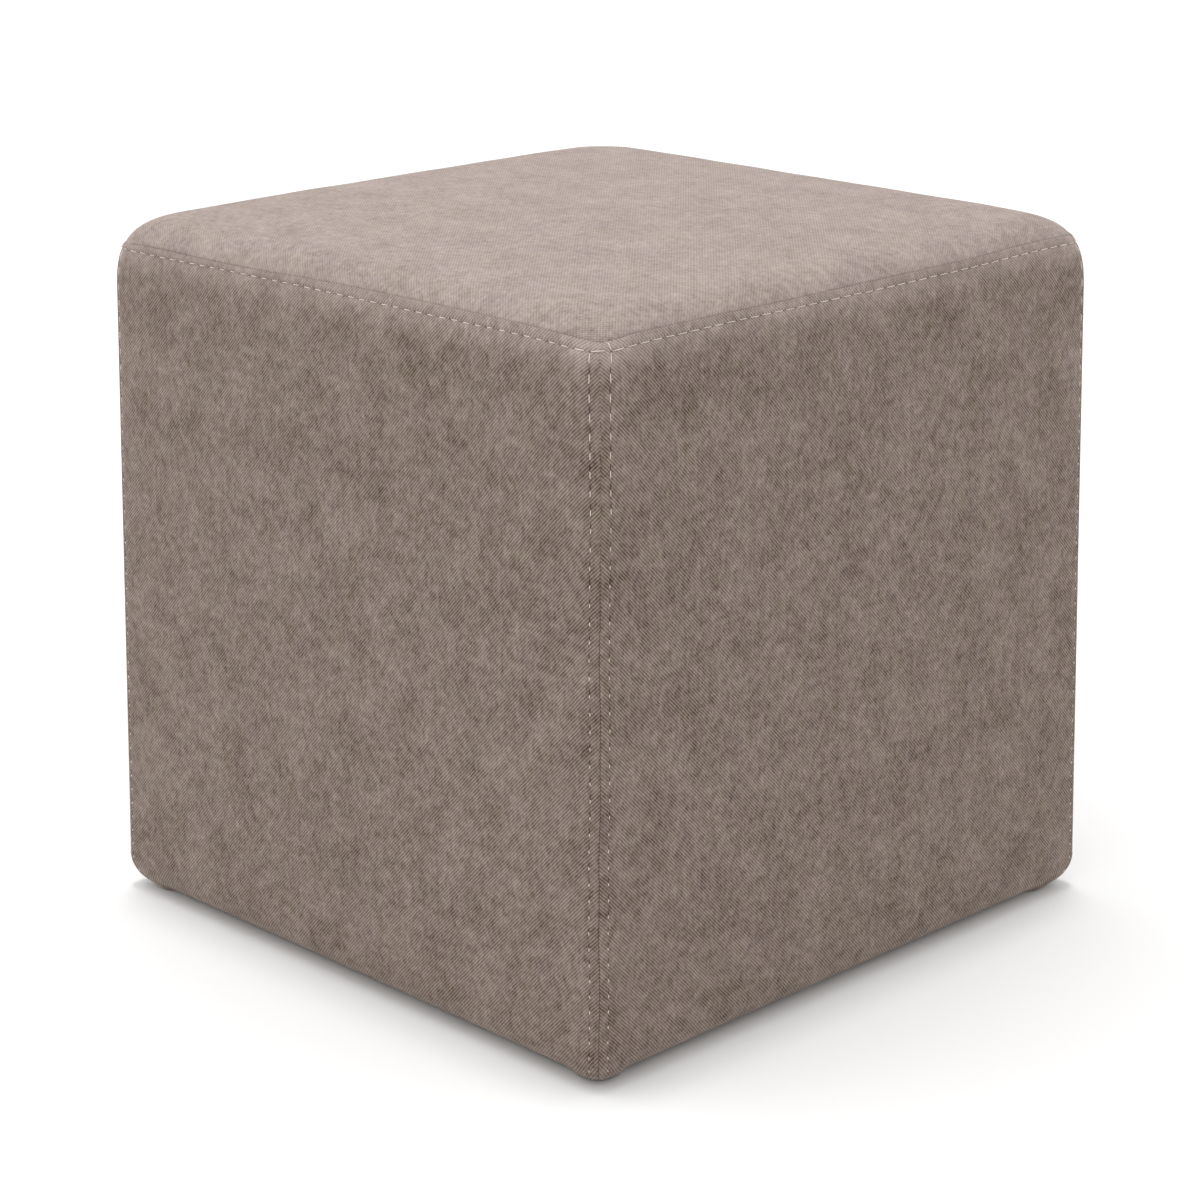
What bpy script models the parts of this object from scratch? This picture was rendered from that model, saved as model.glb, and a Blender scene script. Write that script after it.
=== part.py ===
"""A cube pouf stool: six sewn cloth panels over a firm filling, with a crowned top and a rolled foot.

The whole filled cube is shaped once. Each panel is then the part of that cube that lies behind it, in to
the middle, so the six solids meet at their seams and fill the stool all through. Metres, +Z up, with the
origin at the middle of the underside.
"""

import math
from collections import namedtuple

import bmesh
import bpy
from mathutils import Matrix, Vector

# Overall sizes
HEIGHT = 0.400  # floor to the highest point of the crown
WIDTH = 0.3847  # across the sides where the shoulder starts
LEAN = 0.0043  # how far each side stands out more at the floor than at the top
BULGE = 0.0020  # how far the middle of each side stands proud

# The rolled foot, the soft shoulder and the crown
FOOT_ROLL = 0.0236  # radius of the turn under the bottom edge
SHOULDER_RISE = 0.0388  # height of the turn from the sides into the top
SHOULDER_RUN = 0.0303  # its width
SHOULDER_POWER = 3.1  # 2 would be an ellipse; more is squarer
CROWN = 0.0048  # rise of the top's middle above the shoulder

# Upright corners, as radii in plan
CORNER_AT_FOOT = 0.0080
CORNER_AT_MIDDLE = 0.0155
CORNER_AT_SHOULDER = 0.0263
CORNER_SPREAD = 0.9  # how fast the radius grows further in over the top
CORNER_GROWTH = 0.4  # share of the height over which the foot's radius grows to the middle's

# Seams, top-stitching and tucks
SEAM_HEIGHT = 0.3846  # the seam round the top panel
SEAM_DEPTH = 0.0010  # how deep the cloth is drawn in along a seam
ROW_HEIGHT = 0.3803  # the row of top-stitching under the top seam
ROW_TO_SEAM = 0.0052  # from an upright seam to the row of top-stitching on either side of it
ROW_DEPTH = 0.0005  # how deep the thread draws the cloth in
CHANNEL = 0.0044  # width of the shallow channel along a seam or a row
GAP = 0.0003  # between the solids of two panels
TUCK_DROP = 0.0031  # folded cloth under each bottom corner, nearer the floor than the edges beside it
TUCK_REACH = 0.0450  # how far from the corner it is felt
HEM = 0.0450  # turned-under cloth round the underside
BASE_THICKNESS = 0.0080

# Steps round and up the cube
ROW_STATIONS = (ROW_TO_SEAM - CHANNEL / 2, ROW_TO_SEAM, ROW_TO_SEAM + CHANNEL / 2)
CORNER_STATIONS = (0.0, *ROW_STATIONS, 0.012, 0.018, 0.027)
MIDDLE_STEPS = 4  # from the last of those stations to the middle of a side
FOOT_STEPS = 5
WALL_STEPS = 8
UNDER_ROW_SHARES = (0.0, 0.4, 0.75, 1.0)  # levels of the turn from the wall up to the row of stitching
OVER_STEPS = 4  # from the top seam's channel to the top of the shoulder
CROWN_INSETS = (0.045, 0.065, 0.090, 0.120, 0.155)
UNDERSIDE_INSET = 0.120

CLOTH_COLOUR = (0.335, 0.270, 0.235, 1.0)
BASE_COLOUR = (0.030, 0.029, 0.028, 1.0)
CLOTH_ROUGHNESS = 0.85

# One level of the cube: how high it is, how far inside the outer size, its corners' radius in plan, and how
# deep a seam or a row of stitching draws it in.
Section = namedtuple("Section", "height inset radius drawn")


def clear_scene():
    """Removes whatever the scene holds."""
    for item in list(bpy.data.objects):
        bpy.data.objects.remove(item, do_unlink=True)


def new_collection(name):
    """Makes a collection in the scene."""
    collection = bpy.data.collections.new(name)
    bpy.context.scene.collection.children.link(collection)
    return collection


def new_cloth(name, colour):
    """Makes a matt cloth material."""
    material = bpy.data.materials.new(name)
    material.use_nodes = True
    shader = material.node_tree.nodes["Principled BSDF"]
    shader.inputs["Base Color"].default_value = colour
    shader.inputs["Roughness"].default_value = CLOTH_ROUGHNESS
    shader.inputs["Metallic"].default_value = 0.0
    material.diffuse_color = colour
    return material


def turn_at(height):
    """The shoulder's turn, from 0 at the side to a right angle at the top, at a height."""
    share = (height - (HEIGHT - CROWN - SHOULDER_RISE)) / SHOULDER_RISE
    return math.asin(share ** (SHOULDER_POWER / 2))


def shoulder_section(turn, drawn=0.0):
    """A level of the shoulder."""
    inset = SHOULDER_RUN * (1 - math.cos(turn) ** (2 / SHOULDER_POWER))
    rise = SHOULDER_RISE * math.sin(turn) ** (2 / SHOULDER_POWER)
    radius = CORNER_AT_MIDDLE + (CORNER_AT_SHOULDER - CORNER_AT_MIDDLE) * turn / (math.pi / 2)
    return Section(HEIGHT - CROWN - SHOULDER_RISE + rise, inset, radius, drawn)


def foot_levels():
    """The underside and the turn under the bottom edge."""
    levels = [Section(0.0, UNDERSIDE_INSET, CORNER_AT_FOOT, 0.0)]
    for step in range(FOOT_STEPS + 1):
        turn = math.pi / 2 * step / FOOT_STEPS
        height = FOOT_ROLL * (1 - math.cos(turn))
        levels.append(Section(height, FOOT_ROLL * (1 - math.sin(turn)), CORNER_AT_FOOT, 0.0))
    return levels


def wall_levels():
    """The sides, whose corners grow rounder up to the middle."""
    wall_top = HEIGHT - CROWN - SHOULDER_RISE
    levels = []
    for step in range(1, WALL_STEPS):
        height = FOOT_ROLL + (wall_top - FOOT_ROLL) * step / WALL_STEPS
        share = min(height / (CORNER_GROWTH * HEIGHT), 1.0)
        radius = CORNER_AT_FOOT + (CORNER_AT_MIDDLE - CORNER_AT_FOOT) * share
        levels.append(Section(height, 0.0, radius, 0.0))
    return levels


def shoulder_levels():
    """The shoulder, with the row of stitching and the seam round it."""
    below_row = turn_at(ROW_HEIGHT - CHANNEL / 2)
    levels = [shoulder_section(below_row * share) for share in UNDER_ROW_SHARES]
    levels.append(shoulder_section(turn_at(ROW_HEIGHT), ROW_DEPTH))
    levels.append(shoulder_section(turn_at((ROW_HEIGHT + SEAM_HEIGHT) / 2)))
    levels.append(shoulder_section(turn_at(SEAM_HEIGHT), SEAM_DEPTH))
    over_seam = turn_at(SEAM_HEIGHT + CHANNEL / 2)
    for step in range(OVER_STEPS + 1):
        levels.append(shoulder_section(over_seam + (math.pi / 2 - over_seam) * step / OVER_STEPS))
    return levels


def crown_levels():
    """The crowned top inside the shoulder."""
    levels = []
    for inset in CROWN_INSETS:
        radius = CORNER_AT_SHOULDER + CORNER_SPREAD * (inset - SHOULDER_RUN)
        levels.append(Section(HEIGHT - CROWN, inset, min(radius, WIDTH / 2 - inset), 0.0))
    return levels


def crown_rise(x, y):
    """How far the crowned top stands above the shoulder at a place in plan."""
    return CROWN * (1 - (x / (WIDTH / 2)) ** 2) * (1 - (y / (WIDTH / 2)) ** 2)


def tuck_drop(x, y, height):
    """How far the folded corners bring the foot's turn down at a place."""
    foot_half = WIDTH / 2 + LEAN
    to_corner = math.hypot(foot_half - abs(x), foot_half - abs(y))
    near_floor = max(0.0, 1 - height / FOOT_ROLL)
    return TUCK_DROP * near_floor * max(0.0, 1 - to_corner / TUCK_REACH)


def plan_place(half, radius, drawn, from_corner):
    """Out from the middle and sideways, on a rounded square, at a distance round from a corner's middle."""
    flat_half = half - radius
    half_arc = radius * math.pi / 4
    if from_corner < half_arc:
        turn = math.pi / 4 - from_corner / radius
        reach = radius - drawn
        return flat_half + reach * math.cos(turn), flat_half + reach * math.sin(turn)
    return half - drawn, flat_half + half_arc - from_corner


def station(step, half, radius):
    """How far round from a corner's middle a step lies, counted from the corner."""
    scale = half / (WIDTH / 2)
    near = [place * scale for place in CORNER_STATIONS]
    if step < len(near):
        return near[step]
    to_middle = half - radius + radius * math.pi / 4
    share = (step - len(near) + 1) / MIDDLE_STEPS
    return near[-1] + (to_middle - near[-1]) * share


def drawn_in(section, step):
    """How deep the cloth is drawn in at a level, a number of steps from a corner."""
    if not 0 < section.height <= SEAM_HEIGHT:
        return section.drawn
    if step == 0:
        return SEAM_DEPTH
    if CORNER_STATIONS[min(step, len(CORNER_STATIONS) - 1)] == ROW_TO_SEAM and section.height < ROW_HEIGHT:
        return ROW_DEPTH
    return section.drawn


def soft_point(section, side, step):
    """The place on the filled cube at a level, on a side, and a number of steps across it."""
    steps_to_middle = len(CORNER_STATIONS) - 1 + MIDDLE_STEPS
    from_edge = min(step, 2 * steps_to_middle - step)
    half = WIDTH / 2 + LEAN * (1 - section.height / HEIGHT) - section.inset
    from_corner = station(from_edge, half, section.radius)
    out, sideways = plan_place(half, section.radius, drawn_in(section, from_edge), from_corner)
    if step < steps_to_middle:
        sideways = -sideways
    if 0 < section.height < SEAM_HEIGHT:
        swell = math.sin(math.pi * section.height / SEAM_HEIGHT)
        out += BULGE * swell * (1 - (sideways / half) ** 2)
    x, y = Matrix.Rotation(side * math.pi / 2, 2) @ Vector((out, sideways))
    if section.height > SEAM_HEIGHT:
        return x, y, section.height + crown_rise(x, y)
    return x, y, max(0.0, section.height - tuck_drop(x, y, section.height))


def soft_cube_mesh():
    """The whole filled cube: a ball whose rings become the levels of a soft cube."""
    levels = foot_levels() + wall_levels() + shoulder_levels() + crown_levels()
    rings = len(levels) + 1
    side_steps = 2 * (len(CORNER_STATIONS) - 1 + MIDDLE_STEPS)
    around = 4 * side_steps
    shape = bmesh.new()
    bmesh.ops.create_uvsphere(shape, u_segments=around, v_segments=rings, radius=1.0)
    for vertex in shape.verts:
        ring = round(rings * (1 - math.acos(max(-1.0, min(1.0, vertex.co.z))) / math.pi))
        if ring in (0, rings):
            vertex.co = (0.0, 0.0, HEIGHT * ring / rings)
            continue
        turn = math.atan2(vertex.co.y, vertex.co.x) / (2 * math.pi)
        count = (round(turn * around) + side_steps // 2) % around
        side, step = divmod(count, side_steps)
        vertex.co = soft_point(levels[ring - 1], side, step)
    bmesh.ops.recalc_face_normals(shape, faces=shape.faces)
    mesh = bpy.data.meshes.new("soft_cube")
    shape.to_mesh(mesh)
    shape.free()
    mesh.shade_smooth()
    return mesh


def add_block(name, size, centre, turn, collection):
    """Adds a block that cuts or bounds a panel: it is a guide and isn't part of the stool."""
    shape = bmesh.new()
    bmesh.ops.create_cube(shape, size=1.0)
    bmesh.ops.scale(shape, vec=size, verts=shape.verts)
    mesh = bpy.data.meshes.new(name)
    shape.to_mesh(mesh)
    shape.free()
    block = bpy.data.objects.new(name, mesh)
    block.location = centre
    block.rotation_euler = (0.0, 0.0, turn)
    block.hide_render = True
    block.display_type = "WIRE"
    collection.objects.link(block)
    return block


def add_panel(name, cube, cuts, material, collection):
    """Adds one panel: a copy of the filled cube with its cuts, as pairs of operation and block."""
    mesh = cube.copy()
    mesh.name = name
    mesh.materials.append(material)
    panel = bpy.data.objects.new(name, mesh)
    collection.objects.link(panel)
    for operation, block in cuts:
        cut = panel.modifiers.new(block.name, "BOOLEAN")
        cut.operation = operation
        cut.object = block
        cut.solver = "EXACT"


def build():
    """Builds the stool's six panels."""
    clear_scene()
    parts = new_collection("cube_pouf_stool")
    guides = new_collection("guides")
    cube = soft_cube_mesh()
    reach = 2 * HEIGHT  # guides reach well past the cloth

    above_seam = SEAM_HEIGHT + GAP / 2
    top_block = add_block("top_guide", (reach, reach, reach), (0, 0, above_seam + reach / 2), 0.0, guides)
    top_cloth = new_cloth("top_cloth", CLOTH_COLOUR)
    add_panel("top_panel", cube, [("INTERSECT", top_block)], top_cloth, parts)

    base_side = WIDTH + 2 * LEAN - 2 * HEM
    base_size = (base_side, base_side, 2 * BASE_THICKNESS)
    base_block = add_block("base_guide", base_size, (0, 0, 0), 0.0, guides)
    base_cloth = new_cloth("base_cloth", BASE_COLOUR)
    add_panel("base_panel", cube, [("INTERSECT", base_block)], base_cloth, parts)

    room_size = tuple(length + 2 * GAP for length in base_size)
    base_room = add_block("base_room", room_size, (0, 0, 0), 0.0, guides)
    wall_height = SEAM_HEIGHT - GAP / 2
    corner_to_middle = (reach + GAP) / math.sqrt(2)
    sides = ("front_right", "back_right", "back_left", "front_left")
    for number, side in enumerate(sides):
        facing = number * math.pi / 2
        centre = (corner_to_middle * math.cos(facing), corner_to_middle * math.sin(facing), 0.0)
        size = (reach, reach, 2 * wall_height)
        wedge = add_block(side + "_guide", size, centre, facing + math.pi / 4, guides)
        cloth = new_cloth(side + "_cloth", CLOTH_COLOUR)
        cuts = [("INTERSECT", wedge), ("DIFFERENCE", base_room)]
        add_panel("side_panel_" + side, cube, cuts, cloth, parts)


build()
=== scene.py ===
"""Dresses the cube pouf stool: sewn cloth over a firm filling, top-stitching, a pale floor and soft light.

The stool's panels are worked out from one filled cube. A place on the cube is given by the side it is on, how
far it lies across that side from its middle, and its run: the length of cloth up the side from the inner edge
of the turned-under hem. Sizes are metres in the part's own frame, with +Z up and the origin at the middle of
the underside.
"""

import logging
import math
from dataclasses import dataclass, field
from enum import Enum
from typing import Optional, Union

import bmesh
import bpy
import numpy as np
from mathutils import Matrix, Vector


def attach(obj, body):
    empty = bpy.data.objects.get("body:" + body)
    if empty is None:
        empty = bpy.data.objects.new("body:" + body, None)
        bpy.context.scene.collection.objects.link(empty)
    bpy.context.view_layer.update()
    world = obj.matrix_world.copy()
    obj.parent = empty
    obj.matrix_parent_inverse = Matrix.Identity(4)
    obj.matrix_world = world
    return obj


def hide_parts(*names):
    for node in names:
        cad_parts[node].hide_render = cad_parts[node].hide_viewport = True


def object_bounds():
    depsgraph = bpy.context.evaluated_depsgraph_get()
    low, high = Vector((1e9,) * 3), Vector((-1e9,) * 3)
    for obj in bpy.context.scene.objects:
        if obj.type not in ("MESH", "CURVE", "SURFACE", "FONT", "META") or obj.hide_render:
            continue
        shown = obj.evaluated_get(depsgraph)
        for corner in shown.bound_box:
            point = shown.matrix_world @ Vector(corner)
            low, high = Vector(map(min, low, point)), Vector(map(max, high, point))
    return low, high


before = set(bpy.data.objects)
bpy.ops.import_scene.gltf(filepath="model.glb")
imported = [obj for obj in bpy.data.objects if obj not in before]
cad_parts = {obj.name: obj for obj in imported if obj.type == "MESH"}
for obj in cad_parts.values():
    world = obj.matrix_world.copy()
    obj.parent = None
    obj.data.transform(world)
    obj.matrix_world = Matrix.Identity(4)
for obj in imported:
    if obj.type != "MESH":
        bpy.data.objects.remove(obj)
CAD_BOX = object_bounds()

LOG = logging.getLogger("cube_pouf_stool")
MM = 0.001
BODY = "root"


def smooth_step(low: float, high: float, value: np.ndarray) -> np.ndarray:
    """Rises smoothly from 0 to 1 between two values.

    Args:
        low: Where the rise starts.
        high: Where it ends.
        value: What is compared with them.

    Returns:
        The rise, from 0 to 1.
    """
    share = np.clip((np.asarray(value, float) - low) / (high - low), 0.0, 1.0)
    return share * share * (3.0 - 2.0 * share)


def hump(value: np.ndarray, width: float) -> np.ndarray:
    """A smooth hump of height 1 round zero.

    Args:
        value: The distance from the hump's middle.
        width: The distance at which it has fallen to about a third.

    Returns:
        The hump's height at each distance.
    """
    return np.exp(-((np.asarray(value, float) / width) ** 2))


# ------------------------------------------------------------------------------------------------ the cube


@dataclass(frozen=True)
class CubeSizes:
    """The driving sizes of the filled cube.

    They repeat the part's own, but for the foot's turn and the reach of the tucks, which are tighter here.
    """

    height: float
    width: float = 0.3847
    lean: float = 0.0043
    foot_roll: float = 0.0206
    shoulder_rise: float = 0.0388
    shoulder_run: float = 0.0303
    shoulder_power: float = 3.1
    crown: float = 0.0048
    corner_at_foot: float = 0.0080
    corner_at_middle: float = 0.0155
    corner_at_shoulder: float = 0.0263
    corner_spread: float = 0.9
    seam_height: float = 0.3846
    row_height: float = 0.3803
    row_to_seam: float = 0.0052
    hem: float = 0.0450
    tuck_drop: float = 0.0031
    tuck_reach: float = 0.0180
    tuck_step: float = 0.0050
    tuck_blunt: float = 0.5  # how much less the cloth is tucked at the very corner
    tuck_blunt_reach: float = 0.012
    base_thickness: float = 0.0080


class Profile:
    """The upright cut through the cube, as a table by run from the hem's inner edge to the top's middle."""

    FINE = 400

    def __init__(self, sizes: CubeSizes) -> None:
        """Works the table out.

        Args:
            sizes: The cube's sizes.
        """
        turn = np.linspace(0.0, math.pi / 2, self.FINE)
        power = 2.0 / sizes.shoulder_power
        wall_top = sizes.height - sizes.crown - sizes.shoulder_rise
        under = np.linspace(sizes.hem, sizes.foot_roll, self.FINE)
        wall = np.linspace(sizes.foot_roll, wall_top, self.FINE)
        over = np.linspace(sizes.shoulder_run, sizes.width / 2, self.FINE)
        heights = [
            np.zeros(self.FINE),
            sizes.foot_roll * (1 - np.cos(turn)),
            wall,
            wall_top + sizes.shoulder_rise * np.sin(turn) ** power,
            np.full(self.FINE, sizes.height - sizes.crown),
        ]
        insets = [
            under,
            sizes.foot_roll * (1 - np.sin(turn)),
            np.zeros(self.FINE),
            sizes.shoulder_run * (1 - np.cos(turn) ** power),
            over,
        ]
        growth = wall / wall_top
        to_middle = sizes.corner_at_middle - sizes.corner_at_foot
        to_shoulder = sizes.corner_at_shoulder - sizes.corner_at_middle
        spread = sizes.corner_at_shoulder + sizes.corner_spread * (over - sizes.shoulder_run)
        radii = [
            np.full(self.FINE, sizes.corner_at_foot),
            np.full(self.FINE, sizes.corner_at_foot),
            sizes.corner_at_foot + to_middle * growth,
            sizes.corner_at_middle + to_shoulder * turn / (math.pi / 2),
            np.minimum(spread, sizes.width / 2 - over),
        ]
        self.height = np.concatenate(heights)
        self.inset = np.concatenate(insets)
        self.radius = np.concatenate(radii)
        steps = np.hypot(np.diff(self.height), np.diff(self.inset))
        self.run = np.concatenate([[0.0], np.cumsum(steps)])
        self.end = float(self.run[-1])

    def at(self, run: np.ndarray) -> tuple[np.ndarray, np.ndarray, np.ndarray]:
        """Height, inset and corner radius at a run."""
        return tuple(np.interp(run, self.run, table) for table in (self.height, self.inset, self.radius))

    def run_at(self, height: float) -> float:
        """The run at which the profile reaches a height on the wall or the shoulder."""
        start, end = self.FINE, 4 * self.FINE - 1
        return float(np.interp(height, self.height[start:end], self.run[start:end]))


@dataclass(frozen=True)
class Corner:
    """One upright corner seam: how far sewing has pulled it aside, and where it wavers."""

    drift: float  # sideways at the top, towards the next side round, fading to the floor
    waver: float  # amplitude of the small sideways waves
    phase: float


@dataclass(frozen=True)
class TopEdge:
    """How a side's top seam and the row below it rise and fall, in millimetres, at set shares across it."""

    SHARES = (0.0, 0.10, 0.22, 0.34, 0.45, 0.58, 0.75, 0.87, 1.0)
    STEPS = 101  # across the side
    BLUR = 9  # of those steps, over which a bend is rounded off
    seam: tuple
    row: tuple

    def rise(self, rises: tuple, share: np.ndarray) -> np.ndarray:
        """The seam's or the row's rise at shares across the side, with its bends rounded off.

        Args:
            rises: Of the seam or of the row, at SHARES.
            share: Shares across the side.

        Returns:
            The rise at each.
        """
        fine = np.linspace(0, 1, self.STEPS)
        padded = np.pad(np.interp(fine, self.SHARES, rises), self.BLUR // 2, mode="edge")
        return np.interp(share, fine, np.convolve(padded, np.ones(self.BLUR) / self.BLUR, mode="valid")) * MM


class SoftCube:
    """The filled cube: where any place of its cloth lies, with natural unevenness, before panels are sewn."""

    UNEVEN_SEED = 11
    TOP_EDGES = (
        TopEdge(
            seam=(0.4, 0.3, 0.2, -0.2, -0.1, 0.0, 0.2, 1.6, 1.6),
            row=(-0.2, -0.1, 0.3, 0.2, 0.1, 0.1, 0.6, 1.5, 1.6),
        ),
        TopEdge(
            seam=(1.6, 0.8, -0.3, -0.8, -0.4, 0.3, 0.6, 0.2, -0.3),
            row=(1.6, 0.5, -0.2, -0.6, -0.3, 0.2, 0.4, 0.1, -0.2),
        ),
        TopEdge(
            seam=(-0.3, 0.4, 0.9, 0.5, -0.6, -0.9, 0.3, -1.6, -3.2),
            row=(-0.2, 0.3, 0.6, 0.3, -0.4, -0.6, 0.2, -0.8, -1.2),
        ),
        TopEdge(
            seam=(-3.2, -2.3, -2.5, -1.7, -0.1, 0.8, 1.1, 1.1, 0.4),
            row=(-1.2, -2.0, -1.1, -0.5, 0.0, 0.0, 0.3, 0.6, -0.2),
        ),
    )
    SEAM_DIP = 2.3 * MM  # how far the top seam dips at each corner
    ROW_DIP = 1.2 * MM  # and the row below it
    DIP_REACH = 12.0 * MM
    BELOW_ROW = (0.07, 0.002)  # below the row, the seam's rises come in between these distances from it
    ABOVE_SEAM = (0.003, 0.05)  # and above the seam they fade out between these
    OVER_TOP = 0.02  # cloth above the seam over which the crown and the swell come in
    FREE_OF_UPRIGHT = (0.001, 0.035)  # held at the first distance from an upright seam, free at the second
    FREE_OF_SEAM = (0.0, 0.03)  # the same from the top seam
    FREE_OF_FOOT = (0.015, 0.08)  # and from the foot
    SEAM_WAVES = (3.1, 8.3)  # slow and quick sideways waves up an upright seam
    CORNERS = (
        Corner(-0.8 * MM, 0.25 * MM, 0.4),
        Corner(1.1 * MM, 0.30 * MM, 2.1),
        Corner(0.6 * MM, 0.25 * MM, 4.0),
        Corner(2.4 * MM, 0.28 * MM, 5.2),
    )

    WAVES = 7  # of each kind in the filling's unevenness
    LONG_WAVES = (0.09, 0.16, 0.16 * MM)  # shortest and longest length, and height
    SHORT_WAVES = (0.035, 0.06, 0.05 * MM)

    def __init__(self, sizes: CubeSizes) -> None:
        """Prepares the profile and the cloth's unevenness.

        Args:
            sizes: The cube's sizes.
        """
        self.sizes = sizes
        self.profile = Profile(sizes)
        self.seam_run = self.profile.run_at(sizes.seam_height)
        self.row_run = self.profile.run_at(sizes.row_height)
        self.foot_run = sizes.hem - sizes.foot_roll
        self.floor_half = sizes.width / 2 + sizes.lean
        draw = np.random.default_rng(self.UNEVEN_SEED)
        kinds = (self.LONG_WAVES, self.SHORT_WAVES)
        self.wave_ways = draw.normal(size=(2 * self.WAVES, 3))
        self.wave_ways /= np.linalg.norm(self.wave_ways, axis=1)[:, None]
        self.wave_lengths = np.concatenate([draw.uniform(*kind[:2], self.WAVES) for kind in kinds])
        self.wave_heights = np.concatenate([np.full(self.WAVES, height) for _, _, height in kinds])
        self.wave_starts = draw.uniform(0, 2 * math.pi, 2 * self.WAVES)
        self.swell: Optional["Swell"] = None

    def net(self, runs: np.ndarray) -> tuple[np.ndarray, np.ndarray, np.ndarray]:
        """A square net over the top, with its rings at given runs, from the outermost in to the middle.

        Args:
            runs: The rings' runs.

        Returns:
            The side each point of the net belongs to, its place across that side and its run.
        """
        count = len(runs) - 1
        steps = np.arange(-count, count + 1)
        right, back = np.meshgrid(steps, steps, indexing="xy")
        ring = np.maximum(np.abs(right), np.abs(back))
        side = np.where(right == ring, 0, np.where(back == ring, 1, np.where(right == -ring, 2, 3)))
        aside = np.select([side == 0, side == 1, side == 2], [back, -right, -back], right)
        run = runs[count - ring]
        return side, aside / np.maximum(ring, 1) * self.half_length(run), run

    def half_length(self, run: np.ndarray) -> np.ndarray:
        """Cloth from a side's middle to the middle of its rounded corner, at a run.

        Args:
            run: Cloth from the hem's inner edge.

        Returns:
            The length at each run.
        """
        height, inset, radius = self.profile.at(run)
        half = self.sizes.width / 2 + self.sizes.lean * (1 - height / self.sizes.height) - inset
        return half - radius + radius * math.pi / 4

    def corner_shift(self, corner: int, run: np.ndarray) -> np.ndarray:
        """How far an upright seam lies towards the next side round, at a run.

        Args:
            corner: The number of the side before the corner.
            run: Cloth from the hem's inner edge.

        Returns:
            The shift at each run.
        """
        seam = self.CORNERS[corner % 4]
        share = np.clip((np.asarray(run, float) - self.foot_run) / (self.seam_run - self.foot_run), 0, 1)
        turn = 2 * math.pi * share
        slow, quick = self.SEAM_WAVES
        waves = np.sin(turn * slow + seam.phase) + 0.5 * np.sin(turn * quick + seam.phase)
        return seam.drift * share ** 0.6 + seam.waver * waves * smooth_step(0.0, 0.05, share)

    def ends(self, side: int, run: np.ndarray) -> tuple[np.ndarray, np.ndarray]:
        """Where a side's panel starts and ends across, at a run."""
        reach = self.half_length(run)
        return -(reach - self.corner_shift(side - 1, run)), reach + self.corner_shift(side, run)

    def seam_rise(self, side: int, across: np.ndarray, run: np.ndarray) -> np.ndarray:
        """How far the cloth near the top seam lies further up than its true place.

        Args:
            side: The side's number.
            across: Cloth from the side's middle.
            run: Cloth from the hem's inner edge.

        Returns:
            The rise at each place.
        """
        edge = self.TOP_EDGES[side]
        share = 0.5 + 0.5 * np.asarray(across, float) / self.half_length(run)
        start, end = self.ends(side, self.row_run)
        corner = hump(np.minimum(np.abs(across - start), np.abs(end - across)), self.DIP_REACH)
        to_seam = np.clip((run - self.row_run) / (self.seam_run - self.row_run), 0, 1)
        at_seam = edge.rise(edge.seam, share) - self.SEAM_DIP * corner
        at_row = edge.rise(edge.row, share) - self.ROW_DIP * corner
        near = smooth_step(self.row_run - self.BELOW_ROW[0], self.row_run - self.BELOW_ROW[1], run)
        far = 1 - smooth_step(self.seam_run + self.ABOVE_SEAM[0], self.seam_run + self.ABOVE_SEAM[1], run)
        return (at_row + (at_seam - at_row) * to_seam) * near * far

    def plan(self, side: int, across: np.ndarray, run: np.ndarray) -> np.ndarray:
        """The smooth cube's surface.

        Args:
            side: The side's number, 0 facing +X and then counterclockwise.
            across: Cloth from the side's middle.
            run: Cloth from the hem's inner edge.

        Returns:
            Places, with x, y and z last.
        """
        sizes = self.sizes
        across, run = np.broadcast_arrays(np.asarray(across, float), np.asarray(run, float))
        given = run
        run = run + self.seam_rise(side, across, run)
        across = across * self.half_length(run) / np.maximum(self.half_length(given), MM)
        height, inset, radius = self.profile.at(run)
        half = sizes.width / 2 + sizes.lean * (1 - height / sizes.height) - inset
        flat = half - radius
        past = np.maximum(np.abs(across) - flat, 0.0)
        turn = past / np.maximum(radius, 1e-6)
        sideways = np.where(past > 0, flat + radius * np.sin(turn), np.abs(across)) * np.sign(across)
        out = np.where(past > 0, flat + radius * np.cos(turn), half)
        to_corner = np.abs(half - radius + radius * math.pi / 4 - np.abs(across))
        near_floor = np.clip(1 - height / sizes.foot_roll, 0, 1)
        tucked = 1 - smooth_step(sizes.tuck_reach - sizes.tuck_step, sizes.tuck_reach, to_corner)
        blunted = 1 - sizes.tuck_blunt * hump(to_corner, sizes.tuck_blunt_reach)
        drop = sizes.tuck_drop * near_floor * tucked * blunted
        angle = side * math.pi / 2
        x = out * math.cos(angle) - sideways * math.sin(angle)
        y = out * math.sin(angle) + sideways * math.cos(angle)
        rise = sizes.crown * (1 - (2 * x / sizes.width) ** 2) * (1 - (2 * y / sizes.width) ** 2)
        lifted = height + rise * smooth_step(self.seam_run, self.seam_run + self.OVER_TOP, run)
        z = np.where(run > self.seam_run, lifted, np.maximum(height - drop, 0.0))
        return np.stack([x, y, z], -1)

    def outward(self, side: int, across: np.ndarray, run: np.ndarray) -> np.ndarray:
        """Unit normals of the smooth cube.

        Args:
            side: The side's number.
            across: Cloth from the side's middle.
            run: Cloth from the hem's inner edge.

        Returns:
            The normals, x, y and z last.
        """
        step = 0.4 * MM
        along = self.plan(side, across + step, run) - self.plan(side, across - step, run)
        upward = self.plan(side, across, run + step) - self.plan(side, across, run - step)
        normal = np.cross(along, upward)
        return normal / np.maximum(np.linalg.norm(normal, axis=-1, keepdims=True), 1e-12)

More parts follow.
